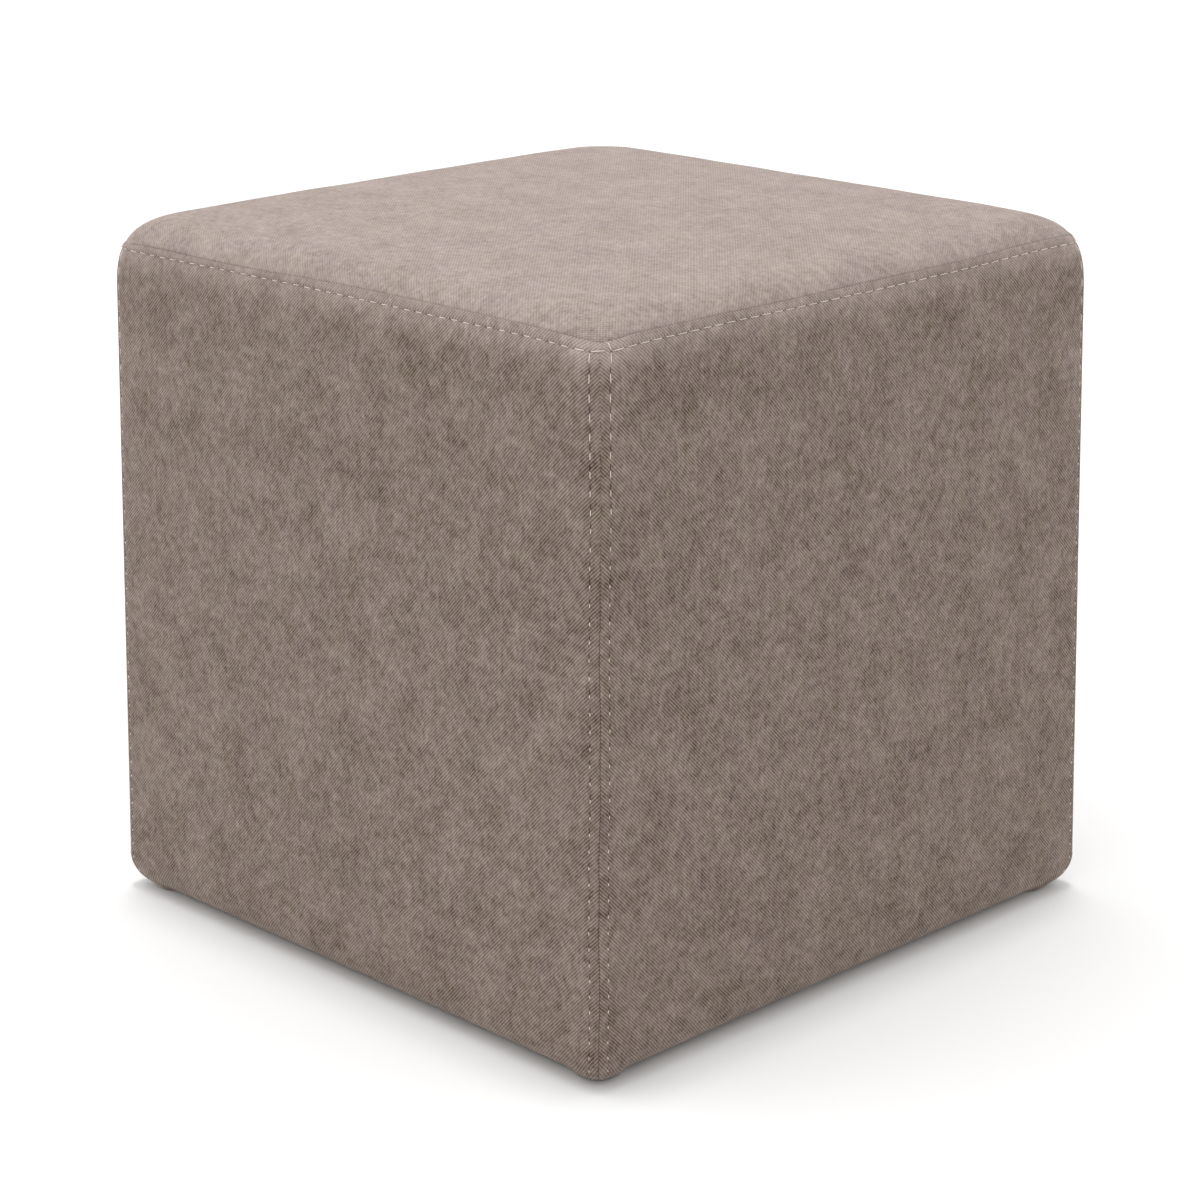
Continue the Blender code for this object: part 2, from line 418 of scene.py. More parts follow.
    def unevenness(self, places: np.ndarray) -> np.ndarray:
        """How far the filling pushes the cloth out or lets it in, at places on the cube.

        Args:
            places: Their x, y and z, last.

        Returns:
            The lift at each place.
        """
        total = np.zeros(places.shape[:-1])
        for way, length, height, start in zip(
            self.wave_ways, self.wave_lengths, self.wave_heights, self.wave_starts
        ):
            total = total + height * np.sin(places @ way * (2 * math.pi / length) + start)
        return total

    def place(self, side: int, across: np.ndarray, run: np.ndarray, lift: np.ndarray) -> np.ndarray:
        """A place on the cloth.

        Args:
            side: The side's number.
            across: Cloth from the side's middle.
            run: Cloth from the hem's inner edge.
            lift: How far out of the smooth cube it lies.

        Returns:
            Places, with x, y and z last.
        """
        across, run, lift = np.broadcast_arrays(across, run, lift)
        smooth = self.plan(side, across, run)
        lift = lift + self.sewn_freedom(side, across, run) * self.unevenness(smooth)
        if self.swell is not None:
            lift = lift + self.swell.at(side, across, run)
        placed = smooth + self.outward(side, across, run) * lift[..., None]
        placed[..., 2] = np.maximum(placed[..., 2], 0.0)
        return placed

    def sewn_freedom(self, side: int, across: np.ndarray, run: np.ndarray) -> np.ndarray:
        """How free the cloth is to swell: 0 along seams and on the floor, 1 well away from them.

        Args:
            side: The side's number.
            across: Cloth from the side's middle.
            run: Cloth from the hem's inner edge.

        Returns:
            The freedom at each place.
        """
        start, end = self.ends(side, run)
        from_upright = np.minimum(np.abs(across - start), np.abs(end - across))
        over_top = smooth_step(self.seam_run, self.seam_run + self.OVER_TOP, run)
        off_upright = np.maximum(smooth_step(*self.FREE_OF_UPRIGHT, from_upright), over_top)
        off_seam = smooth_step(*self.FREE_OF_SEAM, np.abs(run - self.seam_run))
        held, free = self.FREE_OF_FOOT
        return off_upright * off_seam * smooth_step(self.foot_run + held, self.foot_run + free, run)


class Swell:
    """How far the filling swells each panel between its seams, as tables over the sides and the top."""

    CELLS = 32  # across a panel
    LEVELS = 30  # up a side
    PRESSURE = 4.0
    FRAMES = 20
    SIDE_MOST = 2.0 * MM  # a firm filling swells a side this far, and the top less
    TOP_MOST = 0.6 * MM
    LEAST_MOVE = 0.1 * MM  # a smaller move in the simulation means that the cloth didn't swell

    def __init__(self, cube: SoftCube) -> None:
        """Starts with a plain swell, the same on every side.

        Args:
            cube: The filled cube.
        """
        self.cube = cube
        self.runs = np.linspace(cube.foot_run, cube.seam_run, self.LEVELS + 1)
        height, _, _ = cube.profile.at(self.runs)
        shares = np.linspace(-1, 1, self.CELLS + 1)
        upward = np.sin(math.pi * np.clip(height / cube.sizes.seam_height, 0, 1))
        self.sides = np.repeat((self.SIDE_MOST * upward[:, None] * (1 - shares ** 2))[None], 4, axis=0)
        self.top = self.TOP_MOST * (1 - shares[:, None] ** 2) * (1 - shares ** 2)

    def at(self, side: int, across: np.ndarray, run: np.ndarray) -> np.ndarray:
        """The swell at places on the cube.

        Args:
            side: The side's number.
            across: Cloth from the side's middle.
            run: Cloth from the hem's inner edge.

        Returns:
            How far out of the smooth cube the cloth swells.
        """
        share = np.clip(across / np.maximum(self.cube.half_length(run), 1e-6), -1, 1)
        level = np.interp(run, self.runs, np.arange(self.LEVELS + 1))
        on_side = self.read(self.sides[side], level, (share + 1) / 2 * self.CELLS)
        reach = self.cube.profile.end - self.cube.seam_run
        ring = np.clip(1 - (run - self.cube.seam_run) / reach, 0, 1)
        aside = share * ring
        x, y = ((ring, aside), (-aside, ring), (-ring, -aside), (aside, -ring))[side]
        on_top = self.read(self.top, (y + 1) / 2 * self.CELLS, (x + 1) / 2 * self.CELLS)
        return np.where(run > self.cube.seam_run, on_top, on_side)

    @staticmethod
    def read(table: np.ndarray, row: np.ndarray, column: np.ndarray) -> np.ndarray:
        """Reads a table between its entries.

        Args:
            table: The table.
            row: Places down it, counted in rows.
            column: Places across it, counted in columns.

        Returns:
            The values there.
        """
        low_row = np.clip(np.floor(row).astype(int), 0, table.shape[0] - 2)
        low_column = np.clip(np.floor(column).astype(int), 0, table.shape[1] - 2)
        u, v = row - low_row, column - low_column
        near = table[low_row, low_column] * (1 - v) + table[low_row, low_column + 1] * v
        far = table[low_row + 1, low_column] * (1 - v) + table[low_row + 1, low_column + 1] * v
        return near * (1 - u) + far * u

    def ring_points(self, level: int) -> np.ndarray:
        """The points round the stool at a level, counterclockwise from the start of side 0.

        Args:
            level: The level's place in the runs.

        Returns:
            The points.
        """
        run = np.full(self.CELLS, self.runs[level])
        across = np.linspace(-1, 1, self.CELLS + 1)[:-1] * self.cube.half_length(run)
        return np.concatenate([self.cube.place(side, across, run, np.zeros(self.CELLS)) for side in range(4)])

    def coarse_cloth(self) -> tuple[bpy.types.Object, np.ndarray, np.ndarray]:
        """A coarse closed copy of the stool's cloth, pinned along its seams.

        Returns:
            The copy, and the numbers of its points on the sides and on the top, in the tables' order.
        """
        cells, around = self.CELLS, 4 * self.CELLS
        parts = MeshParts()
        top_runs = np.linspace(self.cube.seam_run, self.cube.profile.end, cells // 2 + 1)
        side, across, run = self.cube.net(top_runs)
        places = np.zeros(side.shape + (3,))
        for number in range(4):
            here = side == number
            places[here] = self.cube.place(number, across[here], run[here], np.zeros(here.sum()))
        top = parts.add(places, {})
        for lower, upper in zip(top[:-1], top[1:]):
            parts.strip(lower, upper)
        rim = np.concatenate([top[:-1, -1], top[-1, :0:-1], top[:0:-1, 0], top[0, :-1]])
        rings = [parts.add(self.ring_points(level), {}) for level in range(self.LEVELS)] + [rim]
        for lower, upper in zip(rings[:-1], rings[1:]):
            parts.strip(np.append(lower, lower[0]), np.append(upper, upper[0]))
        under = parts.add(np.zeros((1, 3)), {})[0]
        for place in range(around):
            parts.face(rings[0][place], under, rings[0][(place + 1) % around])
        cloth = parts.object("swelling_cloth", SHARP)
        pinned = np.concatenate([[under], rings[0], rim] + [ring[::cells] for ring in rings])
        sewn = cloth.vertex_groups.new(name="sewn")
        sewn.add([int(number) for number in np.unique(pinned)], 1.0, "REPLACE")
        closed = [np.append(ring, ring[0]) for ring in rings]
        sides = np.array([[ring[n * cells : (n + 1) * cells + 1] for ring in closed] for n in range(4)])
        return cloth, sides, top

    def simulate(self) -> None:
        """Runs the cloth under the filling's pressure, and keeps how far it moved outwards.

        The moves are brought to the firm filling's small swell, so no point moves farther than that.
        """
        cloth, sides, top = self.coarse_cloth()
        count = len(cloth.data.vertices)
        rest, normals = np.zeros(count * 3), np.zeros(count * 3)
        cloth.data.vertices.foreach_get("co", rest)
        cloth.data.vertices.foreach_get("normal", normals)
        modifier = cloth.modifiers.new("swell", "CLOTH")
        settings = modifier.settings
        settings.use_pressure = True
        settings.uniform_pressure_force = self.PRESSURE
        settings.vertex_group_mass = "sewn"
        settings.effector_weights.gravity = 0.0
        modifier.collision_settings.use_self_collision = False
        modifier.point_cache.frame_end = self.FRAMES
        for number in range(1, self.FRAMES + 1):
            bpy.context.scene.frame_set(number)
        graph = bpy.context.evaluated_depsgraph_get()
        moved = np.zeros(count * 3)
        cloth.evaluated_get(graph).data.vertices.foreach_get("co", moved)
        out = ((moved - rest).reshape(-1, 3) * normals.reshape(-1, 3)).sum(axis=1)
        mesh = cloth.data
        bpy.data.objects.remove(cloth, do_unlink=True)
        bpy.data.meshes.remove(mesh)
        bpy.context.scene.frame_set(1)
        side_most, top_most = float(out[sides].max()), float(out[top].max())
        if not np.isfinite(out).all() or min(side_most, top_most) < self.LEAST_MOVE:
            LOG.warning("the cloth didn't swell, so the plain swell stays")
            return
        self.sides = out[sides] * (self.SIDE_MOST / side_most)
        self.top = out[top] * (self.TOP_MOST / top_most)
        LOG.info("cloth swelled %.1f mm on the sides, %.1f mm on the top", side_most / MM, top_most / MM)


# --------------------------------------------------------------------------------------------- the sewing


@dataclass(frozen=True)
class Sewing:
    """Sizes of the seams and of the top-stitching beside them."""

    fold_radius: float = 0.45 * MM  # of the cloth's fold along a seam
    band_height: float = 0.50 * MM  # how proud the cloth lies over the turned seam allowance
    strip_height: float = 0.22 * MM  # the same beside the upright seams
    row_depth: float = 0.28 * MM  # how deep a row of stitching draws the cloth in
    hole_depth: float = 0.22 * MM  # and how much deeper at a needle hole
    row_width: float = 0.9 * MM
    pucker: float = 0.07 * MM  # the cloth's rise and fall beside the rows, stitch by stitch
    pucker_reach: float = 5.0 * MM
    row_edge: float = 1.5 * MM  # below the top row, where the upright rows' own relief starts to fade
    band_edge: float = 1.6 * MM  # above it, where the band is at its full height
    strip_edges: tuple = (0.2 * MM, 1.4 * MM, 1.2 * MM)  # the strip's rise from the seam, and fall to its row
    between_edge: float = 1.0 * MM  # short of the upright row, where the top row begins
    top_stitches: int = 42
    upright_stitches: int = 43
    upright_gather: float = 0.09  # how much longer the upright stitches are near the top than at half height


class Rows:
    """Where the rows of top-stitching and their needle holes lie on the cube."""

    def __init__(self, cube: SoftCube, sewing: Sewing) -> None:
        """Works out the rows' ends.

        Args:
            cube: The filled cube.
            sewing: The sewing's sizes.
        """
        self.cube = cube
        self.sewing = sewing
        self.upright_start = cube.foot_run + 0.35 * cube.sizes.foot_roll
        self.upright_end = cube.row_run

    def top_phase(self, side: int, across: np.ndarray) -> np.ndarray:
        """A place across a side counted in stitches of its top row.

        Args:
            side: The side's number.
            across: Cloth from the side's middle.

        Returns:
            Stitches from the start of the row.
        """
        start, end = self.cube.ends(side, self.cube.row_run)
        first, last = start + self.cube.sizes.row_to_seam, end - self.cube.sizes.row_to_seam
        return (across - first) / (last - first) * self.sewing.top_stitches

    def top_holes(self, side: int) -> np.ndarray:
        """Places across a side of its top row's needle holes.

        Args:
            side: The side's number.

        Returns:
            Cloth from the side's middle to each hole.
        """
        start, end = self.cube.ends(side, self.cube.row_run)
        inner = self.cube.sizes.row_to_seam
        return np.linspace(float(start) + inner, float(end) - inner, self.sewing.top_stitches + 1)

    def upright_phase(self, run: np.ndarray) -> np.ndarray:
        """A run counted in stitches of the upright rows.

        Args:
            run: Cloth from the hem's inner edge.

        Returns:
            Stitches from the foot's end of the row.
        """
        share = (run - self.upright_start) / (self.upright_end - self.upright_start)
        gather = self.sewing.upright_gather
        inner = np.clip(share, 0, 1)
        warped = share + gather * inner * (1 - inner) * (1 + gather * (1 - 2 * inner))
        return warped * self.sewing.upright_stitches

    def upright_holes(self) -> np.ndarray:
        """Runs of the upright rows' needle holes, from the foot up."""
        fine = np.linspace(self.upright_start, self.upright_end, 4001)
        return np.interp(np.arange(self.sewing.upright_stitches + 1), self.upright_phase(fine), fine)

    def relief(self, side: int, across: np.ndarray, run: np.ndarray) -> np.ndarray:
        """How the sewing raises and draws in a side's cloth.

        Args:
            side: The side's number.
            across: Cloth from the side's middle.
            run: Cloth from the hem's inner edge.

        Returns:
            The lift out of the smooth cube.
        """
        sewing, inner = self.sewing, self.cube.sizes.row_to_seam
        start, end = self.cube.ends(side, run)
        from_seam = np.minimum(np.abs(across - start), np.abs(end - across))
        from_row = run - self.cube.row_run
        below_row = 1 - smooth_step(-sewing.row_edge, 0.0, from_row)
        top_wave = 0.5 + 0.5 * np.cos(2 * math.pi * self.top_phase(side, across))
        up_wave = 0.5 + 0.5 * np.cos(2 * math.pi * self.upright_phase(run))
        band = sewing.band_height * smooth_step(0.0, sewing.band_edge, from_row)
        low, full, fall = sewing.strip_edges
        strip = sewing.strip_height * smooth_step(low, full, from_seam)
        strip = strip * (1 - smooth_step(inner - fall, inner, from_seam)) * below_row
        between = smooth_step(inner - sewing.between_edge, inner, from_seam)
        top_draw = sewing.row_depth + sewing.hole_depth * top_wave
        up_draw = sewing.row_depth + sewing.hole_depth * up_wave
        top_row = top_draw * hump(from_row, sewing.row_width) * between
        up_row = up_draw * hump(from_seam - inner, sewing.row_width)
        top_fade = np.exp(-np.abs(from_row) / sewing.pucker_reach)
        up_fade = np.exp(-np.abs(from_seam - inner) / sewing.pucker_reach)
        top_pucker = sewing.pucker * (top_wave - 0.5) * top_fade * between
        up_pucker = sewing.pucker * (up_wave - 0.5) * up_fade
        on_foot = smooth_step(0.0, self.cube.foot_run, run)
        return band + (strip - up_row * below_row - up_pucker * below_row) * on_foot - top_row - top_pucker


# ------------------------------------------------------------------------------------------------- meshes


@dataclass
class MeshParts:
    """Vertices, faces and corner coordinates gathered for one mesh."""

    places: list[np.ndarray] = field(default_factory=list)
    maps: dict[str, list[np.ndarray]] = field(default_factory=dict)
    faces: list[tuple[int, ...]] = field(default_factory=list)
    count: int = 0

    def add(self, places: np.ndarray, maps: dict[str, np.ndarray]) -> np.ndarray:
        """Adds vertices.

        Args:
            places: Their places, in an array of any shape with x, y and z last.
            maps: For each UV map, their coordinates in the same shape.

        Returns:
            Their numbers in the same shape.
        """
        flat = places.reshape(-1, 3)
        numbers = np.arange(self.count, self.count + len(flat)).reshape(places.shape[:-1])
        self.places.append(flat)
        for name, values in maps.items():
            self.maps.setdefault(name, []).append(np.asarray(values, float).reshape(-1, 2))
        self.count += len(flat)
        return numbers

    def face(self, *numbers: int) -> None:
        """Adds a face, leaving out repeated corners.

        Args:
            numbers: Its corners' numbers, counterclockwise from outside.
        """
        corners = [int(number) for place, number in enumerate(numbers) if number != numbers[place - 1]]
        if len(corners) > 2:
            self.faces.append(tuple(corners))

    def strip(self, first: np.ndarray, second: np.ndarray) -> None:
        """Joins two rows of vertices, the second lying to the left of the first."""
        for place in range(len(first) - 1):
            self.face(first[place], first[place + 1], second[place + 1], second[place])

    def object(self, name: str, sharp_angle: float) -> bpy.types.Object:
        """Makes the mesh and its object.

        Args:
            name: The piece's name.
            sharp_angle: The angle past which an edge shows as sharp.

        Returns:
            The object, at the origin.
        """
        mesh = bpy.data.meshes.new(name)
        mesh.from_pydata(np.concatenate(self.places).tolist(), [], self.faces)
        corners = np.zeros(len(mesh.loops), int)
        mesh.loops.foreach_get("vertex_index", corners)
        for map_name, values in self.maps.items():
            layer = mesh.uv_layers.new(name=map_name)
            layer.data.foreach_set("uv", np.concatenate(values)[corners].ravel())
        mesh.validate()
        mesh.shade_smooth()
        mesh.set_sharp_from_angle(angle=sharp_angle)
        piece = bpy.data.objects.new(name, mesh)
        bpy.context.scene.collection.objects.link(piece)
        return piece


class Map(Enum):
    """The UV maps that the cloth's material reads."""

    CLOTH = "cloth"
    TOP_ROW = "top_row"
    UPRIGHT_ROWS = "upright_rows"


SHARP = math.radians(60)
AWAY = 1.0  # a distance in a UV map that lies far from any row


def rolled_edge(radius: float, depth: float, steps: int) -> list[tuple[float, float]]:
    """The cut of cloth that turns in at a seam, from deep inside it to where it lies flat.

    Args:
        radius: Of the turn.
        depth: How deep the cloth goes.
        steps: Steps round the turn.

    Returns:
        Pairs of distance from the seam and lift, which is negative inside it.
    """
    cut = [(0.0, -depth), (0.0, -(depth + radius) / 2)]
    for step in range(steps + 1):
        turn = math.pi / 2 * step / steps
        cut.append((radius * (1 - math.cos(turn)), radius * (math.sin(turn) - 1)))
    return cut


@dataclass
class SidePanel:
    """One side: its cloth from the hem under the foot up to the fold along the top seam."""

    name: str
    side: int
    cube: SoftCube
    rows: Rows
    seam_depth: float = 2.4 * MM
    upright_turn: float = 0.42 * MM
    tight_top: float = 0.30 * MM  # how far the two sides' folds press into each other at the top of a corner
    tight_foot: float = 0.12 * MM
    tight_reach: float = 2.0 * MM
    flush_end: float = 0.97  # share of the corner's crease that is filled above the top row, at the end
    flush_start: float = 0.40  # and at the start, which tucks under its neighbour's end
    flush_rise: float = 4.0 * MM  # cloth below the top row over which the crease fills up
    past_row: float = 1.5 * MM  # how far beyond its row an upright seam's own columns go
    under_step: float = 3.5 * MM  # between levels under the stool
    foot_step: float = 1.6 * MM  # and round the foot
    below_top_row: float = 3.6 * MM  # where the wall's levels end and the top row's own begin
    fold_turns: tuple = (25, 50, 75, 100, 125)  # levels round the fold along the top seam, in degrees
    fold_back: float = 0.3 * MM  # how far the fold's end runs back down, inside
    fold_sink: float = 0.8 * MM  # and how much deeper it goes at first
    room_height: float = 8.4 * MM  # the underside of the filling, over the base panel
    filling_top: float = 0.378
    from_axis: float = 0.4 * MM  # from the stool's axis to the inner edge of the panel's share of the filling

    def columns(self) -> tuple[np.ndarray, np.ndarray, np.ndarray]:
        """Columns across the side.

        Returns:
            For each column its distance from the nearer end, its share of the cloth between the two near
            zones or -1 in the left one and 2 in the right one, and its lift at the seam.
        """
        edge = rolled_edge(self.upright_turn, self.seam_depth, 4)
        inner = self.cube.sizes.row_to_seam
        near = [0.8 * MM, 1.4 * MM, 2.1 * MM, 2.9 * MM, 3.8 * MM, 4.5 * MM]
        near += [inner, inner + 0.7 * MM, inner + self.past_row]
        edge = edge + [(distance, 0.0) for distance in near]
        half = float(self.cube.half_length(self.cube.row_run))
        quarter = 2 * (half - inner) / self.rows.sewing.top_stitches / 4
        first_middle = inner + self.past_row
        count = int((2 * half - 2 * first_middle) / quarter)
        shares = np.linspace(0, 1, count)[1:-1]
        distance = np.array([d for d, _ in edge] + [0.0] * len(shares) + [d for d, _ in reversed(edge)])
        share = np.array([-1.0] * len(edge) + list(shares) + [2.0] * len(edge))
        lift = np.array([h for _, h in edge] + [0.0] * len(shares) + [h for _, h in reversed(edge)])
        return distance, share, lift

    def across(self, run: np.ndarray) -> np.ndarray:
        """Each column's place across the side, at runs in an upright array.

        Args:
            run: Cloth from the hem's inner edge.

        Returns:
            Cloth from the side's middle, with a row for each run.
        """
        distance, share, _ = self.columns()
        start, end = self.cube.ends(self.side, run)
        up_share = smooth_step(self.cube.foot_run, self.cube.row_run, run)
        tight = self.tight_foot + (self.tight_top - self.tight_foot) * up_share
        distance = distance - tight * (1 - smooth_step(self.upright_turn, self.tight_reach, distance))
        zone = self.cube.sizes.row_to_seam + self.past_row
        middle = (start + zone) + (end - start - 2 * zone) * np.clip(share, 0, 1)
        return np.where(share < 0, start + distance, np.where(share > 1, end - distance, middle))

    def levels(self) -> tuple[np.ndarray, np.ndarray]:
        """Levels up the side.

        Returns:
            For each level its run and its lift.
        """
        cube, sewing = self.cube, self.rows.sewing
        holes = self.rows.upright_holes()
        under = np.arange(0.0, cube.foot_run, self.under_step)
        foot = np.arange(cube.foot_run, self.rows.upright_start, self.foot_step)
        wall = np.interp(np.arange(0, 4 * sewing.upright_stitches - 1) / 4, np.arange(len(holes)), holes)
        wall = wall[wall < cube.row_run - self.below_top_row]
        near = np.array([-2.6, -1.8, -1.2, -0.6, 0.0, 0.6, 1.2, 1.8, 2.6, 3.6, 4.6]) * MM
        folded = cube.seam_run - cube.row_run - sewing.fold_radius
        near = np.concatenate([near[near < folded - self.fold_back], [folded]]) + cube.row_run
        runs = np.concatenate([under, foot, wall, near])
        lifts = np.zeros(len(runs))
        turns = np.radians(self.fold_turns)
        fold = sewing.fold_radius
        fold_runs = cube.seam_run - fold + fold * np.sin(turns)
        fold_lifts = -fold * (1 - np.cos(turns))
        deep_runs = np.full(2, fold_runs[-1] - self.fold_back)
        deep_lifts = [fold_lifts[-1] - self.fold_sink, -self.seam_depth]
        return np.concatenate([runs, fold_runs, deep_runs]), np.concatenate([lifts, fold_lifts, deep_lifts])

    def grid(self) -> tuple[np.ndarray, np.ndarray, np.ndarray]:
        """Across, run and lift of every vertex of the panel's outer cloth.

        Returns:
            The three arrays, with a row for each level.
        """
        runs, level_lift = self.levels()
        _, share, column_lift = self.columns()
        run = np.repeat(runs[:, None], len(column_lift), axis=1)
        filled = np.where(share > 1, self.flush_end, self.flush_start)
        filled = filled * smooth_step(self.cube.row_run - self.flush_rise, self.cube.row_run, run)
        column_lift = np.where(column_lift < -self.upright_turn, column_lift, column_lift * (1 - filled))
        across = self.across(run)
        below_fold = np.minimum(run, self.cube.seam_run - self.rows.sewing.fold_radius)
        relief = self.rows.relief(self.side, across, below_fold)
        lift = np.minimum(level_lift[:, None] + relief, column_lift + relief)
        lift = np.where(column_lift < 0, np.minimum(lift, column_lift + level_lift[:, None] + relief), lift)
        return across, run, lift

    def maps(self, across: np.ndarray, run: np.ndarray) -> dict[str, np.ndarray]:
        """UV coordinates: the cloth's own in metres, and each kind of row's in stitches and metres.

        The sides are cut in mirrored pairs, each from its own metre of cloth.

        Args:
            across: Cloth from the side's middle.
            run: Cloth from the hem's inner edge.

        Returns:
            Coordinates by the map's name.
        """
        start, end = self.cube.ends(self.side, run)
        from_seam = np.minimum(across - start, end - across)
        mirrored = -1 if self.side % 2 else 1
        top = np.stack([self.rows.top_phase(self.side, across), run - self.cube.row_run], -1)
        upright = np.stack([self.rows.upright_phase(run), from_seam - self.cube.sizes.row_to_seam], -1)
        return {
            Map.CLOTH.value: np.stack([self.side + mirrored * across, run], -1),
            Map.TOP_ROW.value: top,
            Map.UPRIGHT_ROWS.value: upright,
        }

    def build(self) -> bpy.types.Object:
        """Makes the panel, closed behind by the faces of its share of the filling.

        Returns:
            The panel's object.
        """
        across, run, lift = self.grid()
        places = self.cube.place(self.side, across, run, lift)
        parts = MeshParts()
        cloth = parts.add(places, self.maps(across, run))
        for lower, upper in zip(cloth[:-1], cloth[1:]):
            parts.strip(lower, upper)
        raised = places[0].copy()
        raised[:, 2] = self.room_height
        inner = parts.add(raised, self.plain_maps(raised))
        parts.strip(inner, cloth[0])
        facing = np.array([math.cos(self.side * math.pi / 2), math.sin(self.side * math.pi / 2), 0.0])
        heights = np.clip(places[:, 0, 2], self.room_height, self.filling_top)
        levels, owner = np.unique(np.round(heights, 6), return_inverse=True)
        axis_places = facing * self.from_axis + np.stack([0 * levels, 0 * levels, levels], -1)
        axis = parts.add(axis_places, self.plain_maps(axis_places))
        hem_rows = int((places[:, 0, 2] < self.room_height).sum())
        rows = np.insert(np.arange(len(cloth)), hem_rows, hem_rows - 1)
        in_hem = np.arange(len(rows)) < hem_rows
        column = axis[owner[rows]]
        parts.strip(cloth[rows, 0], np.where(in_hem, inner[0], column))
        parts.strip(np.where(in_hem, inner[-1], column), cloth[rows, -1])
        for place in range(cloth.shape[1] - 1):
            parts.face(cloth[-1, place], cloth[-1, place + 1], column[-1])
            parts.face(inner[place + 1], inner[place], column[0])
        return parts.object(self.name, SHARP)

    @staticmethod
    def plain_maps(places: np.ndarray) -> dict[str, np.ndarray]:
        """UV coordinates of hidden faces, far from any row."""
        away = np.full(places.shape[:-1] + (2,), AWAY)
        return {Map.CLOTH.value: places[..., :2], Map.TOP_ROW.value: away, Map.UPRIGHT_ROWS.value: away}


@dataclass
class TopPanel:
    """The crowned top, from inside the top seam over the shoulder to the middle."""

    name: str
    cube: SoftCube
    rings: int = 108
    tucked_under: float = 0.7 * MM  # how far the cloth runs on under the side panels' fold
    tucked_depth: float = 1.2 * MM
    settle_depth: float = 0.42 * MM  # how deep it lies where it comes out
    settle_reach: float = 1.3 * MM
    crowded: float = 0.45  # how strongly the rings crowd towards the seam
    crowding: float = 1.6  # and how closely
    filling_bottom: float = 0.3875

    def ring_cut(self) -> tuple[np.ndarray, np.ndarray]:
        """Each ring's run and lift, from inside the seam to the middle.

        Returns:
            The two arrays, with an item for each ring.
        """
        out = np.array([0.0, 0.25, 0.6, 1.1, 1.8, 2.8, 4.2]) * MM
        lifts = [-self.tucked_depth, -self.tucked_depth / 2 - self.settle_depth / 2]
        lifts += list(-self.settle_depth * np.exp(-out / self.settle_reach))
        runs = [self.cube.seam_run - self.tucked_under, self.cube.seam_run - self.tucked_under / 2]
        runs += list(self.cube.seam_run + out)
        left = self.rings + 1 - len(runs)
        reach = self.cube.profile.end - runs[-1]
        shares = np.linspace(0, 1, left + 1)[1:]
        eased = (1 - self.crowded) * shares + self.crowded * shares ** self.crowding
        runs = np.concatenate([runs, runs[-1] + reach * eased])
        return runs, np.concatenate([lifts, np.zeros(left)])

    def build(self) -> bpy.types.Object:
        """Makes the panel on a square net whose outer rings follow the rounded plan.

        Returns:
            The panel's object.
        """
        ring_runs, ring_lifts = self.ring_cut()
        side, across, run = self.cube.net(ring_runs)
        lift = np.interp(run, ring_runs, ring_lifts)
        places = np.zeros(run.shape + (3,))
        for number in range(4):
            here = side == number
            places[here] = self.cube.place(number, across[here], run[here], lift[here])
        parts = MeshParts()
        cloth_map = self.cloth_map(places, run)
        away = np.full(run.shape + (2,), AWAY)
        maps = {Map.CLOTH.value: cloth_map, Map.TOP_ROW.value: away, Map.UPRIGHT_ROWS.value: away}
        cloth = parts.add(places, maps)
        for lower, upper in zip(cloth[:-1], cloth[1:]):
            parts.strip(lower, upper)
        rim = np.concatenate([cloth[0, :-1], cloth[:-1, -1], cloth[-1, :0:-1], cloth[:0:-1, 0]])
        middle = np.array([[0.0, 0.0, self.filling_bottom]])
        centre = parts.add(middle, SidePanel.plain_maps(middle))[0]
        for place in range(len(rim)):
            parts.face(rim[place], rim[place - 1], centre)
        return parts.object(self.name, SHARP)

    def cloth_map(self, places: np.ndarray, run: np.ndarray) -> np.ndarray:
        """The cloth's own coordinates: plan places, stretched to the length of cloth over the turn.

        Args:
            places: On the cube.
            run: Cloth from the hem's inner edge.

        Returns:
            The coordinates, in metres.
        """
        _, inset, _ = self.cube.profile.at(run)
        half = np.maximum(self.cube.sizes.width / 2 - inset, 1e-4)
        stretch = np.where(half > 2 * MM, (self.cube.profile.end - run) / half, 1.0)
        return places[..., :2] * stretch[..., None]


@dataclass
class BasePanel:
    """The flat panel under the stool, inside the turned-under hems."""

    name: str
    cube: SoftCube
    steps: int = 24
    edge_turn: float = 0.8 * MM
    seam_gap: float = 0.15 * MM
    downward: float = -0.99  # a face whose normal points down at least this much is the flat underside
    sharp: float = math.radians(40)

    def build(self) -> bpy.types.Object:
        """Makes the panel as a flat block with softly turned lower edges.

        Returns:
            The panel's object.
        """
        half = self.cube.floor_half - self.cube.sizes.hem - self.seam_gap
        shape = bmesh.new()
        bmesh.ops.create_cube(shape, size=1.0)
        size = (2 * half, 2 * half, self.cube.sizes.base_thickness)
        bmesh.ops.scale(shape, vec=size, verts=shape.verts)
        bmesh.ops.translate(shape, vec=(0, 0, size[2] / 2), verts=shape.verts)
        lower = [edge for edge in shape.edges if all(vertex.co.z < MM for vertex in edge.verts)]
        bmesh.ops.bevel(shape, geom=lower, offset=self.edge_turn, segments=4, profile=0.5, affect="EDGES")
        flat = [face for face in shape.faces if face.normal.z < self.downward]
        edges = list(dict.fromkeys(edge for face in flat for edge in face.edges))
        bmesh.ops.subdivide_edges(shape, edges=edges, cuts=self.steps, use_grid_fill=True)
        bmesh.ops.recalc_face_normals(shape, faces=shape.faces)
        mesh = bpy.data.meshes.new(self.name)
        shape.to_mesh(mesh)
        shape.free()
        mesh.shade_smooth()
        mesh.set_sharp_from_angle(angle=self.sharp)
        piece = bpy.data.objects.new(self.name, mesh)
        bpy.context.scene.collection.objects.link(piece)
        return piece


